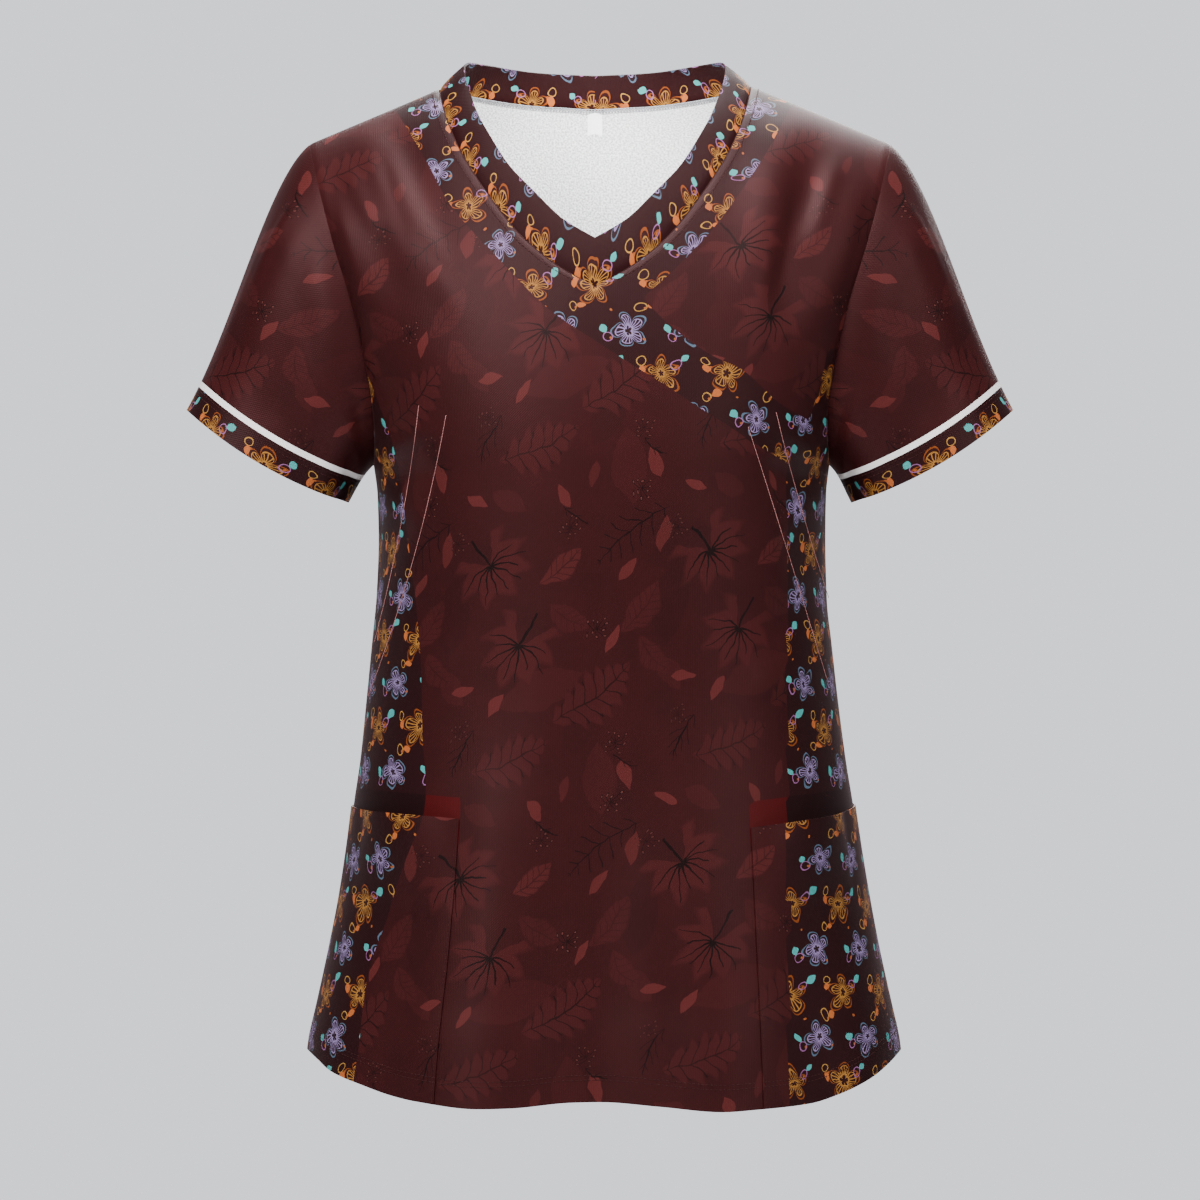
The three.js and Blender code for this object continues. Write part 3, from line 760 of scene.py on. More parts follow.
# Every colour of the garment and the studio, with what it is seen on
COLOURS = {
    "ground_low": ("#1e0607", "Ground of the leaf print, darker places"),
    "ground_high": ("#27090a", "Ground of the leaf print, lighter places"),
    "leaf_deep": ("#150405", "Soft leaves darker than the ground"),
    "leaf_light": ("#401716", "Soft and solid leaves lighter than the ground"),
    "leaf_lines": ("#040101", "Veins, stems and twigs"),
    "leaf_dots": ("#4c2623", "Berries"),
    "bloom_ground": ("#180506", "Ground of the blossom print"),
    "warm_body": ("#2a1009", "Warm blossom, its petals"),
    "warm_rim": ("#64300f", "Warm blossom, its outline"),
    "warm_heart": ("#7d5423", "Warm blossom, its middle"),
    "cool_body": ("#171a20", "Cool blossom, its petals"),
    "cool_rim": ("#3b4b5a", "Cool blossom, its outline"),
    "cool_heart": ("#6c5c7e", "Cool blossom, its middle"),
    "bud_teal": ("#327d7a", "Buds between the blossoms"),
    "bud_plum": ("#6d4468", "Rings beside the teal buds"),
    "bud_rust": ("#8e4a22", "Buds between the blossoms"),
    "bud_ochre": ("#86622e", "Rings beside the rust buds"),
    "bloom_dots": ("#7a401c", "Dots of the blossom print"),
    "cuff_line": ("#cfcac8", "Light line round the sleeve end"),
    # Painted shade: the two plain dark colours below stand for the shadow inside the pockets' mouths, on
    # the leaf print and on the dark print beside the side seam
    "mouth": ("#340405", "Plain cloth inside a pocket's mouth"),
    "mouth_side": ("#110304", "The same beside the side seam"),
    "sheen": ("#e6b2b4", "Short fibres on the face of the knit"),
    "gloss": ("#efbcbd", "Highlight of the knit"),
    "reverse_low": ("#b4b4b4", "White reverse, hollows of its nap"),
    "reverse_high": ("#f4f4f4", "White reverse, tips of its nap"),
    "label_low": ("#fafafa", "Label, hollows of its weave"),
    "label_high": ("#ffffff", "Label, tops of its weave"),
    "thread_low": ("#23090b", "Sewing thread, darker twist"),
    "thread_high": ("#34100f", "Sewing thread, lighter twist"),
    # Painted highlight: the darts' thread is light pink and stands for the light along each dart's ridge
    "dart_highlight_low": ("#7a4846", "Dart thread, darker twist"),
    "dart_highlight_high": ("#a87775", "Dart thread, lighter twist"),
    "overlock_low": ("#77787c", "Overlock thread, darker twist"),
    "overlock_high": ("#b4b5b9", "Overlock thread, lighter twist"),
    "paper": ("#d6d7da", "Studio floor"),
    "sky": ("#d2d4da", "Studio background"),
}


def colour(key):
    """One of the colours, as it stands in the sidebar."""
    return tuple(getattr(bpy.context.scene.scrub_colours, key))


def add(tree, kind, *values, out=0, **settings):
    """Add a node, set its fields, fill or link its inputs in order or by name, and give back an output.

    The kind is the node's own name, with its operation after a space.
    """
    kind, _, operation = kind.partition(" ")
    node = tree.nodes.new("ShaderNode" + kind)
    if operation:
        node.operation = operation
    for field, value in settings.items():
        setattr(node, field, value)
    pairs = values[0].items() if values and isinstance(values[0], dict) else enumerate(values)
    for socket, value in pairs:
        if isinstance(value, bpy.types.NodeSocket):
            tree.links.new(value, node.inputs[socket])
        else:
            node.inputs[socket].default_value = value
    return node.outputs[out] if len(node.outputs) else node


# A mix of two colours: its factor and colours are inputs 0, 6 and 7, its colour output 2
COLOUR_MIX = {"data_type": "RGBA", "out": 2}
FLAT_NOISE = {"noise_dimensions": "2D"}


def repeated(tree, plane, cell, at, turn):
    """Local x and y, in millimetres, of a motif repeated over the print's cell."""
    shifted = add(tree, "VectorMath SUBTRACT", plane, (at[0], at[1], 0))
    half = (cell[0] / 2, cell[1] / 2, 1)
    wrapped = add(tree, "VectorMath WRAP", shifted, half, (-half[0], -half[1], -1))
    turning = {"Vector": wrapped, "Angle": math.radians(-turn)}
    turned = add(tree, "VectorRotate", turning, rotation_type="Z_AXIS")
    parts = add(tree, "SeparateXYZ", turned).node
    return parts.outputs[0], parts.outputs[1]


def polar(tree, x, y):
    """Distance from a motif's own middle, and the angle round it."""
    square = add(tree, "Math MULTIPLY", y, y)
    square = add(tree, "Math MULTIPLY_ADD", x, x, square)
    return add(tree, "Math SQRT", square), add(tree, "Math ARCTAN2", y, x)


def soft_edge(tree, distance, edge):
    """A leaf's body, which fades in over the outer fifth of its width."""
    inner = add(tree, "Math MULTIPLY", edge, 0.8)
    return add(tree, "MapRange", {"Value": distance, "From Min": edge, "From Max": inner})


def wavy(tree, plane, scale, detail, reach):
    """A place on the cloth, shifted softly so that the repeats don't look ruled."""
    waves = {"Vector": plane, "Scale": scale, "Detail": detail}
    noise = add(tree, "TexNoise", waves, out="Color", **FLAT_NOISE)
    centred = add(tree, "VectorMath SUBTRACT", noise, (0.5, 0.5, 0.5))
    return add(tree, "VectorMath MULTIPLY", centred, (reach, reach, 0))


def fan(tree, distance, angle, bend, spread, phase):
    """Rays that bend as they spread: the bent angle, the way to the nearest ray, and its uneven length."""
    bend = add(tree, "Math MULTIPLY_ADD", distance, *bend)
    bent = add(tree, "Math MULTIPLY", angle, bend)
    step = add(tree, "Math MULTIPLY", bent, 1 / spread)
    gap = add(tree, "Math PINGPONG", step, 0.5)
    gap = add(tree, "Math MULTIPLY", gap, distance)
    gap = add(tree, "Math MULTIPLY", gap, spread)
    uneven = add(tree, "Math ROUND", step)
    uneven = add(tree, "Math MULTIPLY", uneven, phase)
    return bent, gap, add(tree, "Math SINE", uneven)


def lens_leaf(tree, x, y, length, width):
    """A small pointed leaf."""
    bow = add(tree, "Math MULTIPLY", x, x)
    side = add(tree, "Math ABSOLUTE", y)
    edge = add(tree, "Math MULTIPLY_ADD", bow, width / (length * length), side)
    return add(tree, "Math LESS_THAN", edge, width)


def palmate(tree, x, y, reach):
    """Bent rays that fan out from a straight stem, and the lobed leaf behind them."""
    distance, angle = polar(tree, x, y)
    bent, gap, uneven = fan(tree, distance, angle, (0.42 / reach, 0.9), 0.47, 2.6)
    width = add(tree, "Math MULTIPLY_ADD", distance, -0.4 / reach, 0.62)
    thin = add(tree, "Math LESS_THAN", gap, width)
    limit = add(tree, "Math MULTIPLY_ADD", uneven, reach * 0.13, reach * 0.72)
    inside = add(tree, "Math LESS_THAN", distance, limit)
    turned = add(tree, "Math ABSOLUTE", bent)
    spread = add(tree, "Math LESS_THAN", turned, 2.15)
    kept = add(tree, "Math MULTIPLY", spread, inside)
    rays = add(tree, "Math MULTIPLY", thin, kept)
    taper = add(tree, "Math MULTIPLY_ADD", x, -0.012, 0.6)
    aside = add(tree, "Math ABSOLUTE", y)
    stem = add(tree, "Math GREATER_THAN", taper, aside)
    behind = add(tree, "Math COMPARE", x, -reach * 0.38, reach * 0.38)
    stem = add(tree, "Math MULTIPLY", stem, behind)
    lines = add(tree, "Math MAXIMUM", rays, stem)
    tooth = add(tree, "Math MULTIPLY", bent, 1.06)
    tooth = add(tree, "Math PINGPONG", tooth, 0.5)
    edge = add(tree, "Math MULTIPLY_ADD", tooth, -reach * 0.85, reach * 1.02)
    soft = soft_edge(tree, distance, edge)
    round_front = add(tree, "Math ABSOLUTE", angle)
    ahead = add(tree, "Math LESS_THAN", round_front, 2.5)
    return lines, add(tree, "Math MULTIPLY", soft, ahead)


def feather(tree, x, y, length, width, pitch, slope, fill, lobes):
    """A bent rib with bowed side ribs, and the plain or lobed leaf behind it."""
    square = add(tree, "Math MULTIPLY", x, x)
    bent = add(tree, "Math MULTIPLY_ADD", square, -0.16 / length, y)
    side = add(tree, "Math ABSOLUTE", bent)
    room = add(tree, "Math MULTIPLY_ADD", square, -1 / (length * length), 1.0)
    rib = add(tree, "Math MULTIPLY", room, 0.42)
    rib = add(tree, "Math ADD", rib, 0.12)
    rib = add(tree, "Math LESS_THAN", side, rib)
    bow = add(tree, "Math MULTIPLY_ADD", side, 0.016, slope)
    row = add(tree, "Math MULTIPLY_ADD", side, bow, x)
    vein = add(tree, "Math PINGPONG", row, pitch / 2)
    vein = add(tree, "Math LESS_THAN", vein, 0.38)
    limit = add(tree, "Math MULTIPLY", room, width)
    within = add(tree, "Math LESS_THAN", side, limit)
    vein = add(tree, "Math MULTIPLY", vein, within)
    lines = add(tree, "Math MAXIMUM", rib, vein)
    inside = add(tree, "Math GREATER_THAN", room, 0.0)
    lines = add(tree, "Math MULTIPLY", lines, inside)
    if not fill:
        return lines, None
    edge = add(tree, "Math MAXIMUM", room, 0.003)
    edge = add(tree, "Math MULTIPLY", edge, width * fill)
    if lobes:
        wave = add(tree, "Math MULTIPLY", row, 2 * math.pi / pitch)
        wave = add(tree, "Math COSINE", wave)
        wave = add(tree, "Math MULTIPLY_ADD", wave, -0.22, 0.85)
        edge = add(tree, "Math MULTIPLY", edge, wave)
    return lines, soft_edge(tree, side, edge)


def berries(tree, x, y, reach):
    """Short bent twigs with a small round berry on the end of each."""
    distance, angle = polar(tree, x, y)
    _, gap, uneven = fan(tree, distance, angle, (0.5 / reach, 0.8), 0.72, 2.1)
    end = add(tree, "Math MULTIPLY_ADD", uneven, reach * 0.24, reach * 0.72)
    off = add(tree, "Math SUBTRACT", distance, end)
    dot = add(tree, "Math MULTIPLY", gap, gap)
    dot = add(tree, "Math MULTIPLY_ADD", off, off, dot)
    fruit = add(tree, "Math LESS_THAN", dot, 1.5)
    shine = add(tree, "Math LESS_THAN", dot, 0.45)
    twig = add(tree, "Math LESS_THAN", gap, 0.26)
    below = add(tree, "Math LESS_THAN", off, 0.0)
    twig = add(tree, "Math MULTIPLY", twig, below)
    return add(tree, "Math MAXIMUM", twig, fruit), shine


def print_plane(tree):
    """The cloth's own print map in millimetres."""
    place = add(tree, "UVMap", uv_map="print")
    return add(tree, "VectorMath SCALE", {0: place, "Scale": 1 / MM})


# The leaf print's repeat: its cell, and each motif with its place, turn, size and strength
LEAF_CELL = (152.0, 212.0)
LEAF_MOTIFS = (
    ("ghost", 57, -99, 90, 28, -0.8),
    ("ghost", 20, -4, 100, 26, 0.45),
    ("ghost", -26, -152, 18, 30, 0.5),
    ("ghost", -91, -146, -50, 16, 0.5),
    ("ghost", -60, -22, -30, 15, 0.55),
    ("ghost", 4, -178, 70, 24, -0.5),
    ("ghost", 62, -62, 20, 26, -0.5),
    ("palmate", -69, -65, -47, 31, 1.0),
    ("palmate", -43, -121, -114, 31, 1.0),
    ("plume", 25, -48, 217, 29, 0.85),
    ("oak", 12, -160, 35, 31, 0.75),
    ("oak", -42, -200, 19, 28, 0.7),
    ("veined", -18, -70, 40, 16, 1.6),
    ("veined", 39, -103, 55, 20, 0.75),
    ("veined", 48, -135, -50, 16, 0.7),
    ("veined", -12, -105, -33, 17, 0.6),
    ("fork", -79, -191, 249, 17, 1.0),
    ("sprig", 36, 7, -33, 10, 1.0),
    ("sprig", -14, -36, -36, 11, 1.0),
    ("solid", -84, -20, -28, 8.5, 1.0),
    ("solid", -22, -22, -58, 8.5, 0.9),
    ("solid", 38, -2, -70, 11, 0.9),
    ("solid", 48, -52, 85, 11, 0.7),
    ("solid", 26, -74, 55, 8.5, 0.9),
    ("solid", 20, -121, 68, 8.5, 1.0),
    ("solid", 71, -149, 3, 8.5, 1.0),
    ("solid", 96, -160, 60, 8.5, 1.0),
    ("solid", -3, -8, 85, 8, 0.4),
    ("berries", 30, -20, 10, 8.5, 1.0),
    ("berries", -16, -43, 60, 8, 0.8),
    ("berries", 57, -48, -40, 8, 0.7),
    ("berries", 9, -112, 20, 8.5, 1.0),
    ("berries", 29, -191, 100, 8.5, 0.8),
    ("berries", 71, -176, 30, 7, 0.5),
)
# Motifs with a rib: width for their length, rib pitch and slope, leaf's fill, lobes, strength of line
RIBBED = {
    "plume": (0.5, 8.6, -0.75, 0, False, 1.0),
    "oak": (0.48, 8.2, -0.7, 1.35, True, 1.0),
    "veined": (0.5, 5.4, -0.95, 1.08, False, 0.42),
    "fork": (0.42, 8.5, -1.7, 0, False, 1.0),
    "sprig": (0.3, 9.0, -1.6, 0, False, 0.9),
}
# The small squeeze and slant of the print's repeat on the cloth
LEAF_ACROSS = (1.01, -0.0971, 0)
LEAF_UPWARD = (-0.077, 1.0065, 0)


def leaf_print(tree, plane):
    """Tonal leaves on burgundy: soft leaves, thin dark veins and small solid leaves."""
    across = add(tree, "VectorMath DOT_PRODUCT", plane, LEAF_ACROSS, out="Value")
    upward = add(tree, "VectorMath DOT_PRODUCT", plane, LEAF_UPWARD, out="Value")
    square = add(tree, "CombineXYZ", across, upward, 0.0)
    square = add(tree, "VectorMath ADD", square, wavy(tree, plane, 0.06, 2.0, 6))
    tones = {}

    def lay(tone, mask, strength):
        share = mask if strength == 1.0 else add(tree, "Math MULTIPLY", mask, strength)
        tones[tone] = add(tree, "Math MAXIMUM", tones[tone], share) if tone in tones else share

    for kind, u, v, turn, size, strength in LEAF_MOTIFS:
        x, y = repeated(tree, square, LEAF_CELL, (u, v), turn)
        if kind in RIBBED:
            wide, *shape, gain = RIBBED[kind]
            lines, leaf = feather(tree, x, y, size, size * wide, *shape)
            lay("leaf_lines", lines, gain * min(strength, 1.2))
            if leaf is not None:
                lay("leaf_light", leaf, 0.32 * strength)
        elif kind == "palmate":
            lines, leaf = palmate(tree, x, y, size)
            lay("leaf_lines", lines, 1.0)
            lay("leaf_light", leaf, 0.3)
        elif kind == "solid":
            lay("leaf_light", lens_leaf(tree, x, y, size * 1.08, size * 0.42), 0.95 * strength)
        elif kind == "ghost":
            leaf = lens_leaf(tree, x, y, size, size * 0.46)
            lay("leaf_light" if strength > 0 else "leaf_deep", leaf, 0.3 * abs(strength))
        else:
            twig, dot = berries(tree, x, y, size)
            lay("leaf_lines", twig, 0.8 * strength)
            lay("leaf_dots", dot, 0.8 * strength)

    cloud = add(tree, "TexNoise", {"Vector": plane, "Scale": 0.03, "Detail": 4.0}, **FLAT_NOISE)
    ground = {0: cloud, 6: colour("ground_low"), 7: colour("ground_high")}
    ground = add(tree, "Mix", ground, **COLOUR_MIX)
    for tone in ("leaf_deep", "leaf_light", "leaf_lines", "leaf_dots"):
        ground = add(tree, "Mix", {0: tones[tone], 6: ground, 7: colour(tone)}, **COLOUR_MIX)
    return ground


def blossom(tree, x, y, reach):
    """A line-drawn flower of five fan petals: its lines, its body and how far out they lie."""
    distance, angle = polar(tree, x, y)
    petal = add(tree, "Math MULTIPLY", angle, 2.5)
    petal = add(tree, "Math COSINE", petal)
    petal = add(tree, "Math ABSOLUTE", petal)
    petal = add(tree, "Math POWER", petal, 0.5)
    edge = add(tree, "Math MULTIPLY_ADD", petal, reach * 0.8, reach * 0.2)
    share = add(tree, "Math DIVIDE", distance, edge)
    rings = ((0.93, 0.042), (0.73, 0.03), (0.24, 0.045), (0.48, 0.24))
    rim, inner, heart, petals = [add(tree, "Math COMPARE", share, *ring) for ring in rings]
    vein = add(tree, "Math MULTIPLY", angle, 3.98)
    vein = add(tree, "Math PINGPONG", vein, 0.5)
    vein = add(tree, "Math MULTIPLY", vein, distance)
    vein = add(tree, "Math LESS_THAN", vein, 1.1)
    vein = add(tree, "Math MULTIPLY", vein, petals)
    outer = add(tree, "Math MAXIMUM", rim, inner)
    middle = add(tree, "Math MAXIMUM", vein, heart)
    lines = add(tree, "Math MAXIMUM", outer, middle)
    return lines, add(tree, "Math LESS_THAN", share, 0.95), share


# The blossom print's repeat; blossoms: place, turn, reach and first part of their colours' names
BLOOM_CELL = (44.0, 60.0)
BLOSSOMS = (((0, 0), 20, 13.6, "warm"), ((22, 30), -33, 13.0, "cool"))
# Buds: place, turn, length, width, colour and the colour of the ring beside them
BUDS = (
    ((15, 10), 35, 3.4, 2.5, "bud_teal", "bud_plum"),
    ((30, 3), -80, 3.6, 2.3, "bud_rust", "bud_ochre"),
    ((5, 31), 120, 3.4, 2.4, "bud_teal", "bud_plum"),
    ((36, 47), 10, 3.2, 2.1, "bud_rust", "bud_ochre"),
)


def bloom_print(tree, plane):
    """Line-drawn blossoms in two colourways on near-black burgundy, with buds and dots."""
    plane = add(tree, "VectorMath ADD", plane, wavy(tree, plane, 0.05, 1.0, 9))
    ground = colour("bloom_ground")
    for at, turn, reach, tint in BLOSSOMS:
        x, y = repeated(tree, plane, BLOOM_CELL, at, turn)
        lines, whole, share = blossom(tree, x, y, reach)
        fill = add(tree, "Math MULTIPLY", whole, 0.3)
        ground = add(tree, "Mix", {0: fill, 6: ground, 7: colour(tint + "_body")}, **COLOUR_MIX)
        near = add(tree, "Math LESS_THAN", share, 0.8)
        line = {0: near, 6: colour(tint + "_rim"), 7: colour(tint + "_heart")}
        line = add(tree, "Mix", line, **COLOUR_MIX)
        ground = add(tree, "Mix", {0: lines, 6: ground, 7: line}, **COLOUR_MIX)
    for at, turn, length, width, body, tint in BUDS:
        x, y = repeated(tree, plane, BLOOM_CELL, at, turn)
        place = add(tree, "CombineXYZ", x, y, 0.0)
        ring = add(tree, "VectorMath DISTANCE", place, (-6.2, 0, 0), out="Value")
        ring = add(tree, "Math COMPARE", ring, 2.9, 0.33)
        ground = add(tree, "Mix", {0: ring, 6: ground, 7: colour(tint)}, **COLOUR_MIX)
        bud = lens_leaf(tree, x, y, length, width)
        ground = add(tree, "Mix", {0: bud, 6: ground, 7: colour(body)}, **COLOUR_MIX)
    x, y = repeated(tree, plane, (BLOOM_CELL[0] / 2, BLOOM_CELL[1] / 3), (10, 5), 0)
    place = add(tree, "CombineXYZ", x, y, 0.0)
    dot = add(tree, "VectorMath LENGTH", place, out="Value")
    dot = add(tree, "Math LESS_THAN", dot, 0.9)
    return add(tree, "Mix", {0: dot, 6: ground, 7: colour("bloom_dots")}, **COLOUR_MIX)


def print_group(name, draw):
    """A print drawn once as a node group: cloth place in, colour out."""
    if name not in bpy.data.node_groups:
        group = bpy.data.node_groups.new(name, "ShaderNodeTree")
        group.interface.new_socket("Plane", in_out="INPUT", socket_type="NodeSocketVector")
        group.interface.new_socket("Color", in_out="OUTPUT", socket_type="NodeSocketColor")
        plane = group.nodes.new("NodeGroupInput").outputs[0]
        group.links.new(draw(group, plane), group.nodes.new("NodeGroupOutput").inputs[0])
    return bpy.data.node_groups[name]


def knit_bump(tree, plane, strength):
    """Fine interlock knit, drawn at 1.2 mm, about twice its real pitch, so that it shows."""
    turning = {"Vector": plane, "Angle": math.radians(45)}
    turned = add(tree, "VectorRotate", turning, rotation_type="Z_AXIS")
    ribs = []
    for way in (turned, plane):
        waves = {"Vector": way, "Scale": 0.26, "Distortion": 0.6, "Detail": 1.0}
        ribs.append(add(tree, "TexWave", waves, out="Fac", wave_type="BANDS"))
    weave = add(tree, "Math ADD", *ribs)
    slub = add(tree, "TexNoise", {"Vector": plane, "Scale": 0.12, "Detail": 4.0}, **FLAT_NOISE)
    whole = add(tree, "Math MULTIPLY_ADD", slub, 2.2, weave)
    return add(tree, "Bump", {"Strength": strength, "Distance": 0.0001, "Height": whole})


def printed_knit(tree, all_dark=False, stripe=False, mouth=False, gloss=0.17):
    """Printed polyester interlock knit: satin face, soft sheen, print that follows the cloth."""
    plane = print_plane(tree)
    bloom = add(tree, "Group", plane, node_tree=print_group("blossom_print", bloom_print))
    tone = bloom
    if not all_dark:
        leaf = add(tree, "Group", plane, node_tree=print_group("tonal_leaf_print", leaf_print))
        edge = add(tree, "Attribute", attribute_name="dark", out="Fac")
        side = add(tree, "Math GREATER_THAN", edge, 0.0)
        tone = add(tree, "Mix", {0: side, 6: leaf, 7: bloom}, **COLOUR_MIX)
    if stripe:
        rise = add(tree, "Attribute", attribute_name="rise", out="Fac")
        line = add(tree, "Math COMPARE", rise, 20.0, 2.1)
        tone = add(tree, "Mix", {0: line, 6: tone, 7: colour("cuff_line")}, **COLOUR_MIX)
    # Painted shade: plain dark colour on the front behind each pocket's mouth, for the shadow in the gape
    if mouth:
        depth = add(tree, "Attribute", attribute_name="mouth", out="Fac")
        inside = add(tree, "Math GREATER_THAN", depth, 0.0)
        plain = {0: side, 6: colour("mouth"), 7: colour("mouth_side")}
        plain = add(tree, "Mix", plain, **COLOUR_MIX)
        tone = add(tree, "Mix", {0: inside, 6: tone, 7: plain}, **COLOUR_MIX)
    return {
        "Base Color": tone,
        "Roughness": 0.46,
        "Sheen Weight": 0.03,
        "Sheen Roughness": 0.35,
        "Sheen Tint": colour("sheen"),
        "Specular IOR Level": gloss,
        "Specular Tint": colour("gloss"),
        "Normal": knit_bump(tree, plane, 0.35),
    }


def brushed_white(tree, low, high):
    """Unprinted back of the knit: white, brushed to a short soft nap."""
    grain = {"Vector": print_plane(tree), "Scale": 0.75, "Detail": 3.0}
    nap = add(tree, "TexNoise", grain, **FLAT_NOISE)
    nap = add(tree, "MapRange", {"Value": nap, "From Min": 0.36, "From Max": 0.64})
    return {
        "Base Color": add(tree, "Mix", {0: nap, 6: colour(low), 7: colour(high)}, **COLOUR_MIX),
        "Roughness": 0.9,
        "Sheen Weight": 0.3,
        "Sheen Roughness": 0.6,
        "Normal": add(tree, "Bump", {"Strength": 0.8, "Distance": 0.0005, "Height": nap}),
    }


def spun_thread(tree, low, high):
    """Spun polyester thread, its twist seen as fine slanting lines."""
    place = add(tree, "TexCoord", out="Object")
    twist = {"Vector": place, "Scale": 900.0, "Distortion": 1.0}
    twist = add(tree, "TexWave", twist, out="Fac", bands_direction="DIAGONAL")
    return {
        "Base Color": add(tree, "Mix", {0: twist, 6: colour(low), 7: colour(high)}, **COLOUR_MIX),
        "Roughness": 0.75,
        "Specular IOR Level": 0.15,
        "Normal": add(tree, "Bump", {"Strength": 0.4, "Distance": 0.0001, "Height": twist}),
    }


# Each material: its name, what makes it and that function's settings
MATERIALS = {
    # The white back of the knit, soft and matt, seen in the neck opening
    "inside": ("brushed_knit_reverse", brushed_white, {"low": "reverse_low", "high": "reverse_high"}),
    # The printed face, satin and faintly knitted, with the dark print down the sides
    # The front also carries painted shade, a plain dark colour, behind each pocket's mouth
    "front": ("printed_interlock_front", printed_knit, {"mouth": True}),
    "back": ("printed_interlock_back", printed_knit, {}),
    "pocket": ("printed_interlock_pocket", printed_knit, {}),
    # The same with the dark print and a light line at the sleeve's end
    "sleeve": ("printed_interlock_sleeve", printed_knit, {"stripe": True}),
    # The dark print alone, duller where the band is folded double
    "band": ("printed_interlock_band", printed_knit, {"all_dark": True, "gloss": 0.07}),
    # A bright white woven tab
    "label": ("woven_satin_label", brushed_white, {"low": "label_low", "high": "label_high"}),
    # Fine twisted threads: dark on the cloth, grey over the cut edge, and light pink in the darts, a
    # painted highlight along each dart's ridge
    "thread": ("polyester_sewing_thread", spun_thread, {"low": "thread_low", "high": "thread_high"}),
    "dart_highlight_thread": ("pink_dart_highlight_thread", spun_thread, {"low": "dart_highlight_low", "high": "dart_highlight_high"}),
    "grey_thread": ("grey_overlock_thread", spun_thread, {"low": "overlock_low", "high": "overlock_high"}),
}


def material_for(key):
    """A material by its key, made once."""
    name, surface, settings = MATERIALS[key]
    if name not in bpy.data.materials:
        material = bpy.data.materials.new(name)
        material.use_nodes = True
        tree = material.node_tree
        tree.nodes.clear()
        shader = add(tree, "BsdfPrincipled", surface(tree, **settings))
        add(tree, "OutputMaterial", {"Surface": shader})
    return bpy.data.materials[name]


GRIDS = {}


def panels(face, step, fine):
    """Both halves of a panel, built once and kept for what is sewn on them."""
    if face not in GRIDS:
        halves = {side: half_panel(face, side, step) for side in (-1, 1)}
        middle = [(a[0], b[0]) for a, b in zip(halves[-1][0], halves[1][0])]
        middle = [(a, b) for a, b in middle if (a.p - b.p).length < 0.01]
        for a, b in middle:
            a.n = b.n = (a.n + b.n).normalized()
        for side in (-1, 1):
            rounded_middle(halves[side][0], side, halves[side][2])
            drape(halves[side][0], face, fine)
        for a, b in middle:
            a.p = (a.p + b.p) / 2
            b.p = a.p.copy()
        for side in (-1, 1):
            grid_normals(halves[side][0], face * side > 0)
        for a, b in middle:
            a.n = b.n = (a.n + b.n).normalized()
        GRIDS[face] = halves
    return GRIDS[face]


def on_panel(face, side, share, z, step, fine):
    """Point, normal and print place on the draped body below the armpits."""
    grid, count, _ = panels(face, step, fine)[side]
    columns = panel_columns(step)
    j = 0
    while j < len(columns) - 2 and columns[j + 1] < share:
        j += 1
    s = (share - columns[j]) / (columns[j + 1] - columns[j])

    def height(i):
        return grid[i][j].rest * (1 - s) + grid[i][j + 1].rest * s

    lo, hi = 0, count
    while hi - lo > 1:
        mid = (lo + hi) // 2
        if height(mid) < z:
            lo = mid
        else:
            hi = mid
    t = (z - height(lo)) / (height(hi) - height(lo))
    corners = grid[lo][j], grid[lo][j + 1], grid[hi][j], grid[hi][j + 1]

    def mix(field):
        a, b, c, d = (getattr(corner, field) for corner in corners)
        return (a * (1 - s) + b * s) * (1 - t) + (c * (1 - s) + d * s) * t

    spot = Spot(mix("p"), mix("u"), mix("v"), mix("seam"))
    spot.n = mix("n").normalized()
    spot.rest = z
    return spot


def share_at(side, x, z):
    """Share of a body ring that lies at a distance from the middle, seen from the front."""
    section = skirt_section(-1, side, math.floor(z))
    lo, hi = 0.0, 1.0
    for _ in range(24):
        mid = (lo + hi) / 2
        if along(section, mid)[0] > x:
            hi = mid
        else:
            lo = mid
    return lo


def finish_piece(obj, node):
    """Hide the solid that a piece of cloth stands for, and hang the piece on the root body."""
    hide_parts(node)
    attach(obj, "root")


class ScrubSizes(bpy.types.PropertyGroup):
    """Sizes of the cloth."""

    step: bpy.props.FloatProperty(
        name="Mesh step", description="Spacing of the cloth's points", default=4.5 * MM, unit="LENGTH",
    )
    cloth: bpy.props.FloatProperty(
        name="Cloth", description="Thickness of the knit", default=1.0 * MM, unit="LENGTH",
    )
    creases: bpy.props.FloatProperty(
        name="Creases", description="Strength of the fine creases", default=1.0, subtype="FACTOR",
    )


class ScrubColours(bpy.types.PropertyGroup):
    """Colours of the cloth, the thread and the studio."""

    __annotations__ = {
        key: bpy.props.FloatVectorProperty(
            name=key.replace("_", " ").capitalize(), description=use, default=linear(code),
            size=4, min=0.0, max=1.0, subtype="COLOR",
        )
        for key, (code, use) in COLOURS.items()
    }


def chosen(context):
    """Mesh step and cloth in millimetres, and the strength of the fine creases."""
    sizes = context.scene.scrub_sizes
    return sizes.step / MM, sizes.cloth / MM, sizes.creases


def make_cloth(name, node, parts, thickness, keys):
    """A piece of cloth from its grids, hung on the root in place of its hidden solid."""
    obj = cloth_mesh(name, parts, thickness, [material_for(key) for key in keys])
    finish_piece(obj, node)


# Top edge of the painted shade at each pocket's place on the front: its height, slope and the x where it
# has that height
MOUTH_SHADE_TOPS = {-1: (-467.2, -0.085, -93), 1: (-470.0, 0.13, 100)}
# Low edge of that painted shade
MOUTH_SHADE_LOW = -500


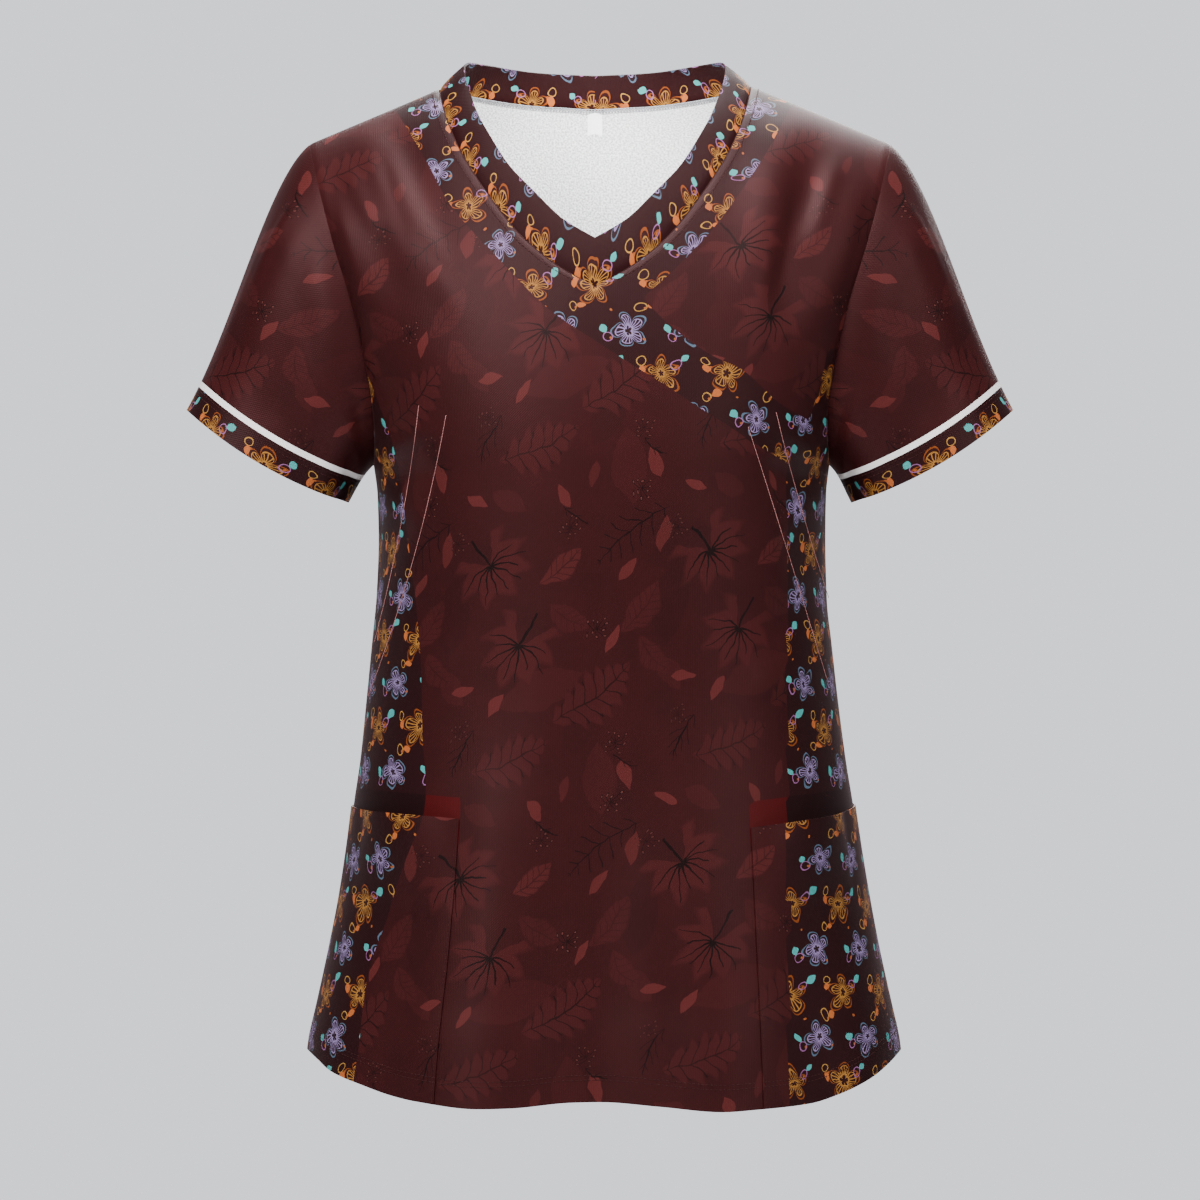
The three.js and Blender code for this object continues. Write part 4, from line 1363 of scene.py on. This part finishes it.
class SCRUB_OT_front(bpy.types.Operator):
    """Make the front panel"""

    bl_idname = "scrub.front"
    bl_label = "Front"

    def execute(self, context):
        step, cloth, fine = chosen(context)
        parts = []
        for side, (grid, _, cut) in panels(-1, step, fine).items():
            height, slope, middle = MOUTH_SHADE_TOPS[side]
            for row in grid:
                for spot in row:
                    x, z = spot.p.x, spot.p.z
                    seam = POCKET_SEAM.at("z", "left" if side < 0 else "right", z)
                    # How far a place lies inside the strip of painted shade behind the pocket's mouth
                    mouth = min(height + slope * (x - middle) - z, abs(x) - seam, z - MOUTH_SHADE_LOW)
                    spot.marks = {"dark": front_marks(x, z, False), "mouth": max(-MARK_REACH, mouth)}
            parts.append((trimmed(grid, cut), side < 0))
        make_cloth("front_panel", "front", parts, cloth, ("front", "inside"))
        return {"FINISHED"}


class SCRUB_OT_back(bpy.types.Operator):
    """Make the back panel"""

    bl_idname = "scrub.back"
    bl_label = "Back"

    def execute(self, context):
        step, cloth, fine = chosen(context)
        parts = []
        for side, (grid, _, cut) in panels(1, step, fine).items():
            for row in grid:
                for spot in row:
                    spot.marks = {"dark": back_marks(spot.p.x, spot.p.z)}
            parts.append((trimmed(grid, cut), side > 0))
        make_cloth("back_panel", "back", parts, cloth, ("back", "inside"))
        return {"FINISHED"}


def sleeve_lift(way, t, fine):
    """Height of a sleeve's folds at a share of the way round and of its length."""
    lift = 0.0
    for rows, gain in ((SLEEVE_FOLDS, 1.0), (SLEEVE_CREASES, fine)):
        for at, begin, stop, wide, height in rows:
            if t <= begin or t >= stop + 0.15:
                continue
            apart = abs(way - at)
            away = min(apart, 1 - apart) / wide
            if away < 3:
                fade = smooth((t - begin) / 0.25) * (1 - smooth((t - stop + 0.1) / 0.25))
                lift += gain * height * math.exp(-away * away) * fade
    return lift


def sleeve_grid(side, step, fine):
    """A sleeve from the armhole down to its tilted oval end."""
    front, yoke_front, _ = panels(-1, step, fine)[side]
    back, yoke_back, _ = panels(1, step, fine)[side]
    loop = [row[-1].p.copy() for row in front[:yoke_front - 1:-1]]
    loop += [row[-1].p.copy() for row in back[yoke_back + 1:]]
    turn_at = len(front) - yoke_front - 1
    lengths = running(loop)
    tilt = math.radians(CUFF_TILT)
    across = Vector((-side * math.cos(tilt), 0, -math.sin(tilt)))
    down = Vector((side * math.sin(tilt), 0, -math.cos(tilt)))
    shares = spaced(SLEEVE_LONG, step, True, False)
    grid = [[] for _ in shares]
    for k, start in enumerate(loop):
        if k <= turn_at:
            way = 0.5 * lengths[k] / lengths[turn_at]
        else:
            way = 0.5 + 0.5 * (lengths[k] - lengths[turn_at]) / (lengths[-1] - lengths[turn_at])
        angle = 2 * math.pi * way
        end = Vector((side * CUFF_X, 0, CUFF_Z)) - across * (CUFF_WIDE * math.cos(angle))
        end.y -= CUFF_DEEP * math.sin(angle)
        end += down * (CUFF_DROOP * math.sin(angle) ** 2)
        reach = (start - end).length
        leave = Vector((side * 0.36, -0.16 * math.sin(angle), 0)) + down * 0.64
        leave = leave.normalized() * reach * (1.05 - 0.5 * max(math.cos(angle), 0.0))
        arrive = down * reach * 0.95
        out = Vector((0, -math.sin(angle), 0)) - across * math.cos(angle)
        run = 0.0
        last = None
        column = []
        for t in shares:
            t2, t3 = t * t, t * t * t
            p = start * (2 * t3 - 3 * t2 + 1) + leave * (t3 - 2 * t2 + t)
            p = p + end * (3 * t2 - 2 * t3) + arrive * (t3 - t2)
            p = p + out * sleeve_lift(way, t, fine)
            if last is not None:
                run += (p - last).length
            last = p
            column.append((p, run))
        for row, (p, at) in zip(grid, column):
            spot = Spot(p, (way - 0.5) * SLEEVE_ROUND, run - at)
            spot.marks = {"rise": run - at, "dark": CUFF_BAND - (run - at)}
            row.append(spot)
    for row in grid:
        row[-1].p = row[0].p.copy()
    grid_normals(grid, side < 0)
    for row in grid:
        n = (row[0].n + row[-1].n).normalized()
        row[0].n = n
        row[-1].n = n.copy()
    return grid


class SCRUB_OT_sleeves(bpy.types.Operator):
    """Make the two set-in sleeves"""

    bl_idname = "scrub.sleeves"
    bl_label = "Sleeves"

    def execute(self, context):
        step, cloth, fine = chosen(context)
        for side, node in ((-1, "sleeve_left"), (1, "sleeve_right")):
            grid = sleeve_grid(side, step, fine)
            grid[0] = [moved(a, b) for a, b in zip(grid[0], grid[1])]
            GRIDS[node] = grid
            parts = [(grid, side < 0)]
            make_cloth(node + "_tube", node, parts, cloth, ("sleeve", "inside"))
        return {"FINISHED"}


def smooth_line(points, count):
    """Evenly spaced points of a rounded line through the given ones."""
    dense = []
    last = len(points) - 1
    for k in range(last):
        p0 = points[max(k - 1, 0)]
        p1, p2 = points[k], points[k + 1]
        p3 = points[min(k + 2, last)]
        for s in range(24):
            t = s / 24
            t2, t3 = t * t, t * t * t
            bend = 2 * p0 - 5 * p1 + 4 * p2 - p3
            twist = 3 * p1 - p0 - 3 * p2 + p3
            dense.append(0.5 * ((2 * p1) + (p2 - p0) * t + bend * t2 + twist * t3))
    dense.append(points[-1].copy())
    return even_line(dense, [k / (count - 1) for k in range(count)])


def even_line(dense, shares):
    """Points of a dense line at shares of its length."""
    lengths = running(dense)
    result = []
    k = 0
    for share in shares:
        want = share * lengths[-1]
        while k < len(dense) - 2 and lengths[k + 1] < want:
            k += 1
        t = (want - lengths[k]) / max(lengths[k + 1] - lengths[k], 1e-9)
        result.append(dense[k].lerp(dense[k + 1], min(max(t, 0.0), 1.0)))
    return result


def neck_lines(side, step, fine):
    """Seam and free edge of half the neckband, point for point."""
    lines = []
    for face in (-1, 1):
        grid, _, cut = panels(face, step, fine)[side]
        lines.append([row[0].p.copy() for row in grid[cut:]])
    seam = lines[0] + lines[1][-2::-1]
    corner = len(lines[0]) - 1
    lengths = running(seam)
    front_free, back_free = (
        smooth_line([Vector((NECK_SHIFT + side * x, y, z)) for x, y, z in edge], 200)
        for edge in (FRONT_EDGE, BACK_EDGE)
    )
    shoulder = lengths[corner]
    free = even_line(front_free, [run / shoulder for run in lengths[:corner + 1]])
    rest = lengths[-1] - shoulder
    free += even_line(back_free, [(run - shoulder) / rest for run in lengths[corner + 1:]])
    return seam, free, lengths


# Width and thickness of the folded neckband
BAND_WIDE = 23.0
BAND_THICK = 1.3


class SCRUB_OT_neckband(bpy.types.Operator):
    """Make the neckband, mitred at the point of the V"""

    bl_idname = "scrub.neckband"
    bl_label = "Neckband"

    def execute(self, context):
        step, _, fine = chosen(context)
        parts = []
        for side in (-1, 1):
            seam, free, lengths = neck_lines(side, step, fine)
            grid = []
            for share in spaced(BAND_WIDE, 2.6, True, False):
                up = BAND_WIDE * share
                row = [Spot(a.lerp(b, share), side * run, up, up) for a, b, run in zip(seam, free, lengths)]
                grid.append(row)
            grid_normals(grid, side < 0)
            for row in grid:
                share = min(row[0].seam / BAND_WIDE, 1.0)
                crown = 0.8 * math.sin(math.pi * share) ** 0.6
                for spot in row:
                    spot.p = spot.p + spot.n * (crown + seam_dip(spot.seam))
            grid[0] = [moved(a, b) for a, b in zip(grid[0], grid[1])]
            for row in grid:
                for end in (row[0], row[-1]):
                    if abs(end.p.x - NECK_SHIFT) < 3:
                        end.p.x = NECK_SHIFT
            parts.append((grid, side > 0))
        for a_row, b_row in zip(parts[0][0], parts[1][0]):
            for k in (0, -1):
                middle = (a_row[k].p + b_row[k].p) / 2
                a_row[k].p = middle
                b_row[k].p = middle.copy()
        make_cloth("neckband_strip", "neckband", parts, BAND_THICK, ("band", "band"))
        return {"FINISHED"}


# Height of each pocket's mouth at its inner seam and at the side seam
MOUTHS = {-1: (-481.5, -472.5), 1: (-487.5, -471.5)}
POCKET_LONG = 190.0
POCKET_COLUMNS = 30
# How far the mouth stands off, and the share of its width at which that ends
GAPE = 11.0
GAPE_END = 0.64


def pocket_grid(side, step, fine):
    """A patch pocket on the front's own surface, its mouth standing off in the middle."""
    seam_top, side_top = MOUTHS[side]
    column = "left" if side < 0 else "right"
    count = round(POCKET_LONG / step)
    across = [k / POCKET_COLUMNS for k in range(POCKET_COLUMNS + 1)]
    rows = []
    low_share = share_at(side, POCKET_SEAM.at("z", column, HEM_LEVEL), HEM_LEVEL)
    bottoms = []
    for t in across:
        share = low_share + (1 - low_share) * t
        edge, _, _ = skirt_point(-1, side, share, HEM_LEVEL)
        bottoms.append(HEM[-1].at("x", "z", edge.x) + 0.01)
    for i in range(count + 1):
        row = []
        rise = i / count
        for t, bottom in zip(across, bottoms):
            z = bottom + (seam_top + (side_top - seam_top) * t - bottom) * rise
            start = share_at(side, POCKET_SEAM.at("z", column, z), z)
            share = start + (1 - start) * t
            spot = on_panel(-1, side, share, z, step, fine)
            gape = math.sin(math.pi * min(t / GAPE_END, 1.0) ** 0.85) * smooth((rise - 4 / 7) * 7 / 3)
            ease = smooth(t / 0.06) * smooth((1 - t) / 0.05) * smooth(rise / 0.05)
            spot.p = spot.p + spot.n * (1.2 + 0.5 * ease + GAPE * gape)
            spot.marks = {"dark": front_marks(spot.p.x, z, True)}
            row.append(spot)
        rows.append(row)
    return rows


class SCRUB_OT_pockets(bpy.types.Operator):
    """Make the two patch pockets on the front"""

    bl_idname = "scrub.pockets"
    bl_label = "Pockets"

    def execute(self, context):
        step, cloth, fine = chosen(context)
        for side, node in ((-1, "pocket_left"), (1, "pocket_right")):
            grid = pocket_grid(side, step, fine)
            GRIDS[node] = grid
            parts = [([[*row[:-1], moved(row[-1], row[-2])] for row in grid], side < 0)]
            make_cloth(node + "_patch", node, parts, cloth, ("pocket", "inside"))
        return {"FINISHED"}


# Half width and thickness of the label
LABEL_HALF = 5.0
LABEL_THICK = 0.5


class SCRUB_OT_label(bpy.types.Operator):
    """Make the blank size label inside the back of the neck"""

    bl_idname = "scrub.label"
    bl_label = "Size label"

    def execute(self, context):
        step, _, fine = chosen(context)
        halves = panels(1, step, fine)
        low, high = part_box("size_label")
        rows = []
        cut = halves[1][2]
        lowest = cut
        while halves[1][0][lowest][0].p.z > low[2] / MM:
            lowest -= 1
        for share in [k / 8 for k in range(9)]:
            z = low[2] / MM + 0.4 + (high[2] - low[2] - 0.0008) / MM * share
            row = []
            for across in [k / 6 for k in range(-6, 7)]:
                source = (halves[1] if across >= 0 else halves[-1])[0]
                i = lowest
                while i < cut - 1 and source[i + 1][0].p.z < z:
                    i += 1
                t = (z - source[i][0].p.z) / (source[i + 1][0].p.z - source[i][0].p.z)
                p = source[i][0].p.lerp(source[i + 1][0].p, t)
                n = source[i][0].n.lerp(source[i + 1][0].n, t)
                edge = source[i][3].p.lerp(source[i + 1][3].p, t)
                reach = abs(across) * LABEL_HALF / max(abs(edge.x - p.x), 1e-6)
                place = p.lerp(edge, reach)
                curl = 0.35 * abs(across) ** 2 + 0.9 * (1 - share) ** 2
                row.append(Spot(place - n.normalized() * (1.35 + curl), across * LABEL_HALF, z))
            rows.append(row)
        label = material_for("label")
        obj = cloth_mesh("size_label_tab", [(rows, False)], LABEL_THICK, [label, label])
        finish_piece(obj, "size_label")
        return {"FINISHED"}


def dashes(lines, pitch, length):
    """Ends of evenly spaced stitches along lines of (place, normal) pairs."""
    ends = []
    for line in lines:
        lengths = running([place for place, _ in line])
        k = 0
        for number in range(int((lengths[-1] - length) / pitch) + 1):
            pair = []
            for want in (number * pitch, number * pitch + length):
                while k < len(line) - 2 and lengths[k + 1] < want:
                    k += 1
                t = (want - lengths[k]) / max(lengths[k + 1] - lengths[k], 1e-9)
                (a, na), (b, nb) = line[k], line[k + 1]
                pair.append((a.lerp(b, t), na.lerp(nb, t).normalized()))
            ends.append(pair)
    return ends


# Rings of a stitch: share of its length and thickness there
STITCH_RINGS = ((0.0, 0.35), (0.18, 0.85), (0.5, 1.0), (0.82, 0.85), (1.0, 0.35))
STITCH_SIDES = 6


def sewing(name, ends, radius, material):
    """Small thread stitches from end to end, as one mesh."""
    points = []
    polygons = []
    for (a, na), (b, nb) in ends:
        forward = (b - a).normalized()
        up = (na + nb).normalized()
        aside = forward.cross(up).normalized()
        base = len(points)
        for share, swell in STITCH_RINGS:
            middle = a.lerp(b, share) + up * (radius * (swell - 0.45))
            for turn in range(STITCH_SIDES):
                angle = turn * math.pi / 3
                offset = aside * math.cos(angle) + up * math.sin(angle)
                points.append(tuple((middle + offset * radius * swell) * MM))
        for first in range(base, len(points) - STITCH_SIDES, STITCH_SIDES):
            for turn in range(STITCH_SIDES):
                i = first + turn
                j = first + (turn + 1) % STITCH_SIDES
                polygons.append((i, j, j + STITCH_SIDES, i + STITCH_SIDES))
        polygons.append(tuple(reversed(range(base, base + STITCH_SIDES))))
        polygons.append(tuple(range(len(points) - STITCH_SIDES, len(points))))
    mesh = bpy.data.meshes.new(name)
    mesh.from_pydata(points, [], polygons)
    mesh.polygons.foreach_set("use_smooth", [True] * len(polygons))
    mesh.materials.append(material)
    mesh.update()
    obj = bpy.data.objects.new(name, mesh)
    bpy.context.collection.objects.link(obj)
    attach(obj, "root")


def offset_line(grid, row, distance, lift, rows_first=True):
    """A line that runs at a distance from a grid's edge: row 0 or -1 across, or a column."""
    line = []
    for strand in (zip(*grid) if rows_first else grid):
        strand = list(strand) if row == 0 else list(strand)[::-1]
        run = 0.0
        for a, b in zip(strand, strand[1:]):
            gap = (b.p - a.p).length
            if run + gap >= distance:
                t = (distance - run) / max(gap, 1e-9)
                normal = a.n.lerp(b.n, t).normalized()
                line.append((a.p.lerp(b.p, t) + normal * lift, normal))
                break
            run += gap
    return line


def seen_at(spots, x, z, lift):
    """Place and normal on the cloth at a spot of the front view, from the nearest points' own planes."""
    near = sorted(((q.p.x - x) ** 2 + (q.p.z - z) ** 2, k) for k, q in enumerate(spots))[:5]
    y = 0.0
    n = Vector()
    total = 0.0
    for apart, k in near:
        q = spots[k]
        weight = 1 / (apart + 1.0)
        y += weight * (q.p.y - (q.n.x * (x - q.p.x) + q.n.z * (z - q.p.z)) / q.n.y)
        n += q.n * weight
        total += weight
    n.normalize()
    return Vector((x, y / total, z)) + n * lift, n


# Distances of the two rows of stitches from the hem and the sleeve's end, and of the rows at the neck
HEM_ROWS = (15.0, 18.2)
CUFF_ROWS = (13.0, 16.0)
NECK_TOPSTITCH = 5.4
NECK_JOIN = 0.3
POCKET_ROW = 1.6


class SCRUB_OT_sewing(bpy.types.Operator):
    """Sew the hems, the neckband and the pockets"""

    bl_idname = "scrub.sewing"
    bl_label = "Sewing"

    def execute(self, context):
        step, cloth, fine = chosen(context)
        lift = cloth / 2
        thread = material_for("thread")
        hems = []
        for face in (-1, 1):
            for side in (-1, 1):
                grid = panels(face, step, fine)[side][0]
                if face < 0:
                    seam = POCKET_SEAM.at("z", "left" if side < 0 else "right", -660)
                    edge = share_at(side, seam, -660)
                    bare = sum(share < edge for share in panel_columns(step))
                    grid = [row[:bare] for row in grid]
                hems += [offset_line(grid, 0, distance, lift) for distance in HEM_ROWS]
        for node in ("pocket_left", "pocket_right"):
            hems += [offset_line(GRIDS[node], 0, distance, lift) for distance in HEM_ROWS]
        for node in ("sleeve_left", "sleeve_right"):
            hems += [offset_line(GRIDS[node], -1, distance, lift) for distance in CUFF_ROWS]
        sewing("hem_stitches", dashes(hems, 3.0, 2.2), 0.22, thread)
        tops = []
        joins = []
        for side in (-1, 1):
            for face in (-1, 1):
                grid, _, cut = panels(face, step, fine)[side]
                tops.append(offset_line(grid[cut + 1:], 0, NECK_TOPSTITCH, lift, rows_first=False))
                joins.append(offset_line(grid[cut + 1:], 0, NECK_JOIN, lift * 0.9, rows_first=False))
        sewing("neck_stitches", dashes(tops, 3.0, 2.2) + dashes(joins, 2.0, 2.4), 0.32, thread)
        seams = []
        for node in ("pocket_left", "pocket_right"):
            seams.append(offset_line(GRIDS[node], 0, POCKET_ROW, lift, rows_first=False))
        sewing("pocket_stitches", dashes(seams, 2.8, 2.1), 0.2, thread)
        loops = []
        for side in (-1, 1):
            grid, _, cut = panels(1, step, fine)[side]
            seam = offset_line(grid[cut:], 0, NECK_JOIN, -lift - 0.45, rows_first=False)
            upper, lower = [], []
            for k, (place, n) in enumerate(seam):
                run = seam[min(k + 1, len(seam) - 1)][0] - seam[max(k - 1, 0)][0]
                down = run.cross(n).normalized()
                down = -down if down.z > 0 else down
                upper.append((place - down * 2.0 + Vector((0, -0.7, 0)), -n))
                lower.append((place + down * 2.8, -n))
            high, low = dashes([upper], 2.1, 0.9), dashes([lower], 2.1, 0.9)
            for k in range(min(len(high), len(low)) - 1):
                loops.append((high[k][0], low[k][1]))
                loops.append((low[k][1], high[k + 1][0]))
            loops += dashes([upper, lower], 1.5, 1.7)
        sewing("back_neck_overlock", loops, 0.34, material_for("grey_thread"))
        darts = []
        for points in DARTS:
            grid = panels(-1, step, fine)[-1 if points[0][0] < 0 else 1][0]
            near = [q for row in grid for q in row if abs(q.p.x) > 85 and -415 < q.p.z < -185]
            near = [q for q in near if q.n.y < -0.2]
            (ax, top), (bx, _), (cx, low) = points
            line = []
            for k in range(81):
                t = k / 80
                x = ax * (1 - t) * (1 - 2 * t) + bx * 4 * t * (1 - t) + cx * t * (2 * t - 1)
                line.append(seen_at(near, x, top + (low - top) * t, lift))
            darts.append(line)
        # Real stitches along the darts, in light pink thread as a painted highlight along each dart's ridge
        sewing("dart_highlight_stitches", dashes(darts, 2.0, 2.4), 0.24, material_for("dart_highlight_thread"))
        return {"FINISHED"}


# Studio lights: name, place, size and power, all aimed at the garment's middle
LIGHTS = (
    ("key", (-1.7, -2.4, 1.2), 0.8, 120),
    ("fill", (2.1, -2.3, 0.7), 1.2, 45),
    ("top", (0, -1.1, 1.6), 0.9, 115),
    ("shoulders", (0.2, 0.9, 1.7), 1.1, 105),
    ("back", (0.4, 2.8, 1.2), 1.8, 90),
)
LIGHTS_AIM = Vector((0, 0, -0.25))
FLOOR_Z = -1.36
VIEW_Z = -0.3332
SENSOR = 36


class ScrubStage(bpy.types.PropertyGroup):
    """Camera distance and width of view."""

    distance: bpy.props.FloatProperty(
        name="Camera distance", description="Long view, nearly without perspective", default=24.0,
        unit="LENGTH",
    )
    view: bpy.props.FloatProperty(
        name="View", description="Width of the view at the garment", default=0.816, unit="LENGTH",
    )


class SCRUB_OT_stage(bpy.types.Operator):
    """Set the floor, the soft studio light and the camera"""

    bl_idname = "scrub.stage"
    bl_label = "Stage"

    def execute(self, context):
        stage = context.scene.scrub_stage
        bpy.ops.object.select_all(action="DESELECT")
        bpy.ops.mesh.primitive_plane_add(size=24, location=(0, 0, FLOOR_Z))
        floor = context.object
        floor.name = "studio_floor"
        material = bpy.data.materials.new("matt_studio_paper")
        material.use_nodes = True
        shader = material.node_tree.nodes["Principled BSDF"]
        shader.inputs["Base Color"].default_value = colour("paper")
        shader.inputs["Roughness"].default_value = 0.9
        floor.data.materials.append(material)
        world = bpy.data.worlds.new("studio")
        world.use_nodes = True
        sky = world.node_tree
        sky.nodes["Background"].inputs[0].default_value = colour("sky")
        # The background shows bright while the cloth gets the softer light
        seen = add(sky, "LightPath")
        level = add(sky, "MapRange", {"Value": seen, "To Min": 0.35, "To Max": 1.85})
        sky.links.new(level, sky.nodes["Background"].inputs[1])
        context.scene.world = world
        for name, place, size, power in LIGHTS:
            lamp = bpy.data.lights.new(name, "AREA")
            lamp.size = size
            lamp.energy = power
            obj = bpy.data.objects.new(name, lamp)
            obj.location = place
            aim = LIGHTS_AIM - obj.location
            obj.rotation_euler = aim.to_track_quat("-Z", "Y").to_euler()
            context.collection.objects.link(obj)
        # A small lamp over the white inside of the back, out of the camera's sight
        lamp = bpy.data.lights.new("neck_inside", "AREA")
        lamp.shape = "RECTANGLE"
        lamp.size, lamp.size_y = 0.11, 0.07
        lamp.energy = 0.5
        glow = bpy.data.objects.new("neck_inside", lamp)
        glow.location = (0, -0.03, -0.045)
        glow.rotation_euler = (math.radians(108), 0, 0)
        glow.visible_camera = False
        context.collection.objects.link(glow)
        lens = bpy.data.cameras.new("camera")
        lens.sensor_width = SENSOR
        lens.lens = SENSOR * stage.distance / stage.view
        camera = bpy.data.objects.new("camera", lens)
        camera.location = (0, -stage.distance, VIEW_Z)
        camera.rotation_euler = (math.radians(90), 0, 0)
        context.collection.objects.link(camera)
        context.scene.camera = camera
        return {"FINISHED"}


class SCRUB_PT_panel(bpy.types.Panel):
    """Lists the pieces, the sizes and the colours"""

    bl_idname = "SCRUB_PT_panel"
    bl_label = "Scrub top"
    bl_space_type = "VIEW_3D"
    bl_region_type = "UI"
    bl_category = "Scrub top"

    def draw(self, context):
        for operator in OPERATORS:
            self.layout.operator(operator.bl_idname)
        for name in ("step", "cloth", "creases"):
            self.layout.prop(context.scene.scrub_sizes, name)
        for name in COLOURS:
            self.layout.prop(context.scene.scrub_colours, name)
        for name in ("distance", "view"):
            self.layout.prop(context.scene.scrub_stage, name)


GROUPS = {"scrub_sizes": ScrubSizes, "scrub_colours": ScrubColours, "scrub_stage": ScrubStage}
OPERATORS = (
    SCRUB_OT_front, SCRUB_OT_back, SCRUB_OT_sleeves, SCRUB_OT_neckband, SCRUB_OT_pockets, SCRUB_OT_label,
    SCRUB_OT_sewing, SCRUB_OT_stage,
)
CLASSES = (*GROUPS.values(), *OPERATORS, SCRUB_PT_panel)


def register():
    for cls in CLASSES:
        bpy.utils.register_class(cls)
    for name, group in GROUPS.items():
        setattr(bpy.types.Scene, name, bpy.props.PointerProperty(type=group))


def unregister():
    for name in GROUPS:
        delattr(bpy.types.Scene, name)
    for cls in reversed(CLASSES):
        bpy.utils.unregister_class(cls)


def main():
    register()
    bpy.ops.scrub.front()
    bpy.ops.scrub.back()
    bpy.ops.scrub.sleeves()
    bpy.ops.scrub.neckband()
    bpy.ops.scrub.pockets()
    bpy.ops.scrub.label()
    bpy.ops.scrub.sewing()
    bpy.ops.scrub.stage()


if __name__ == "__main__":
    main()
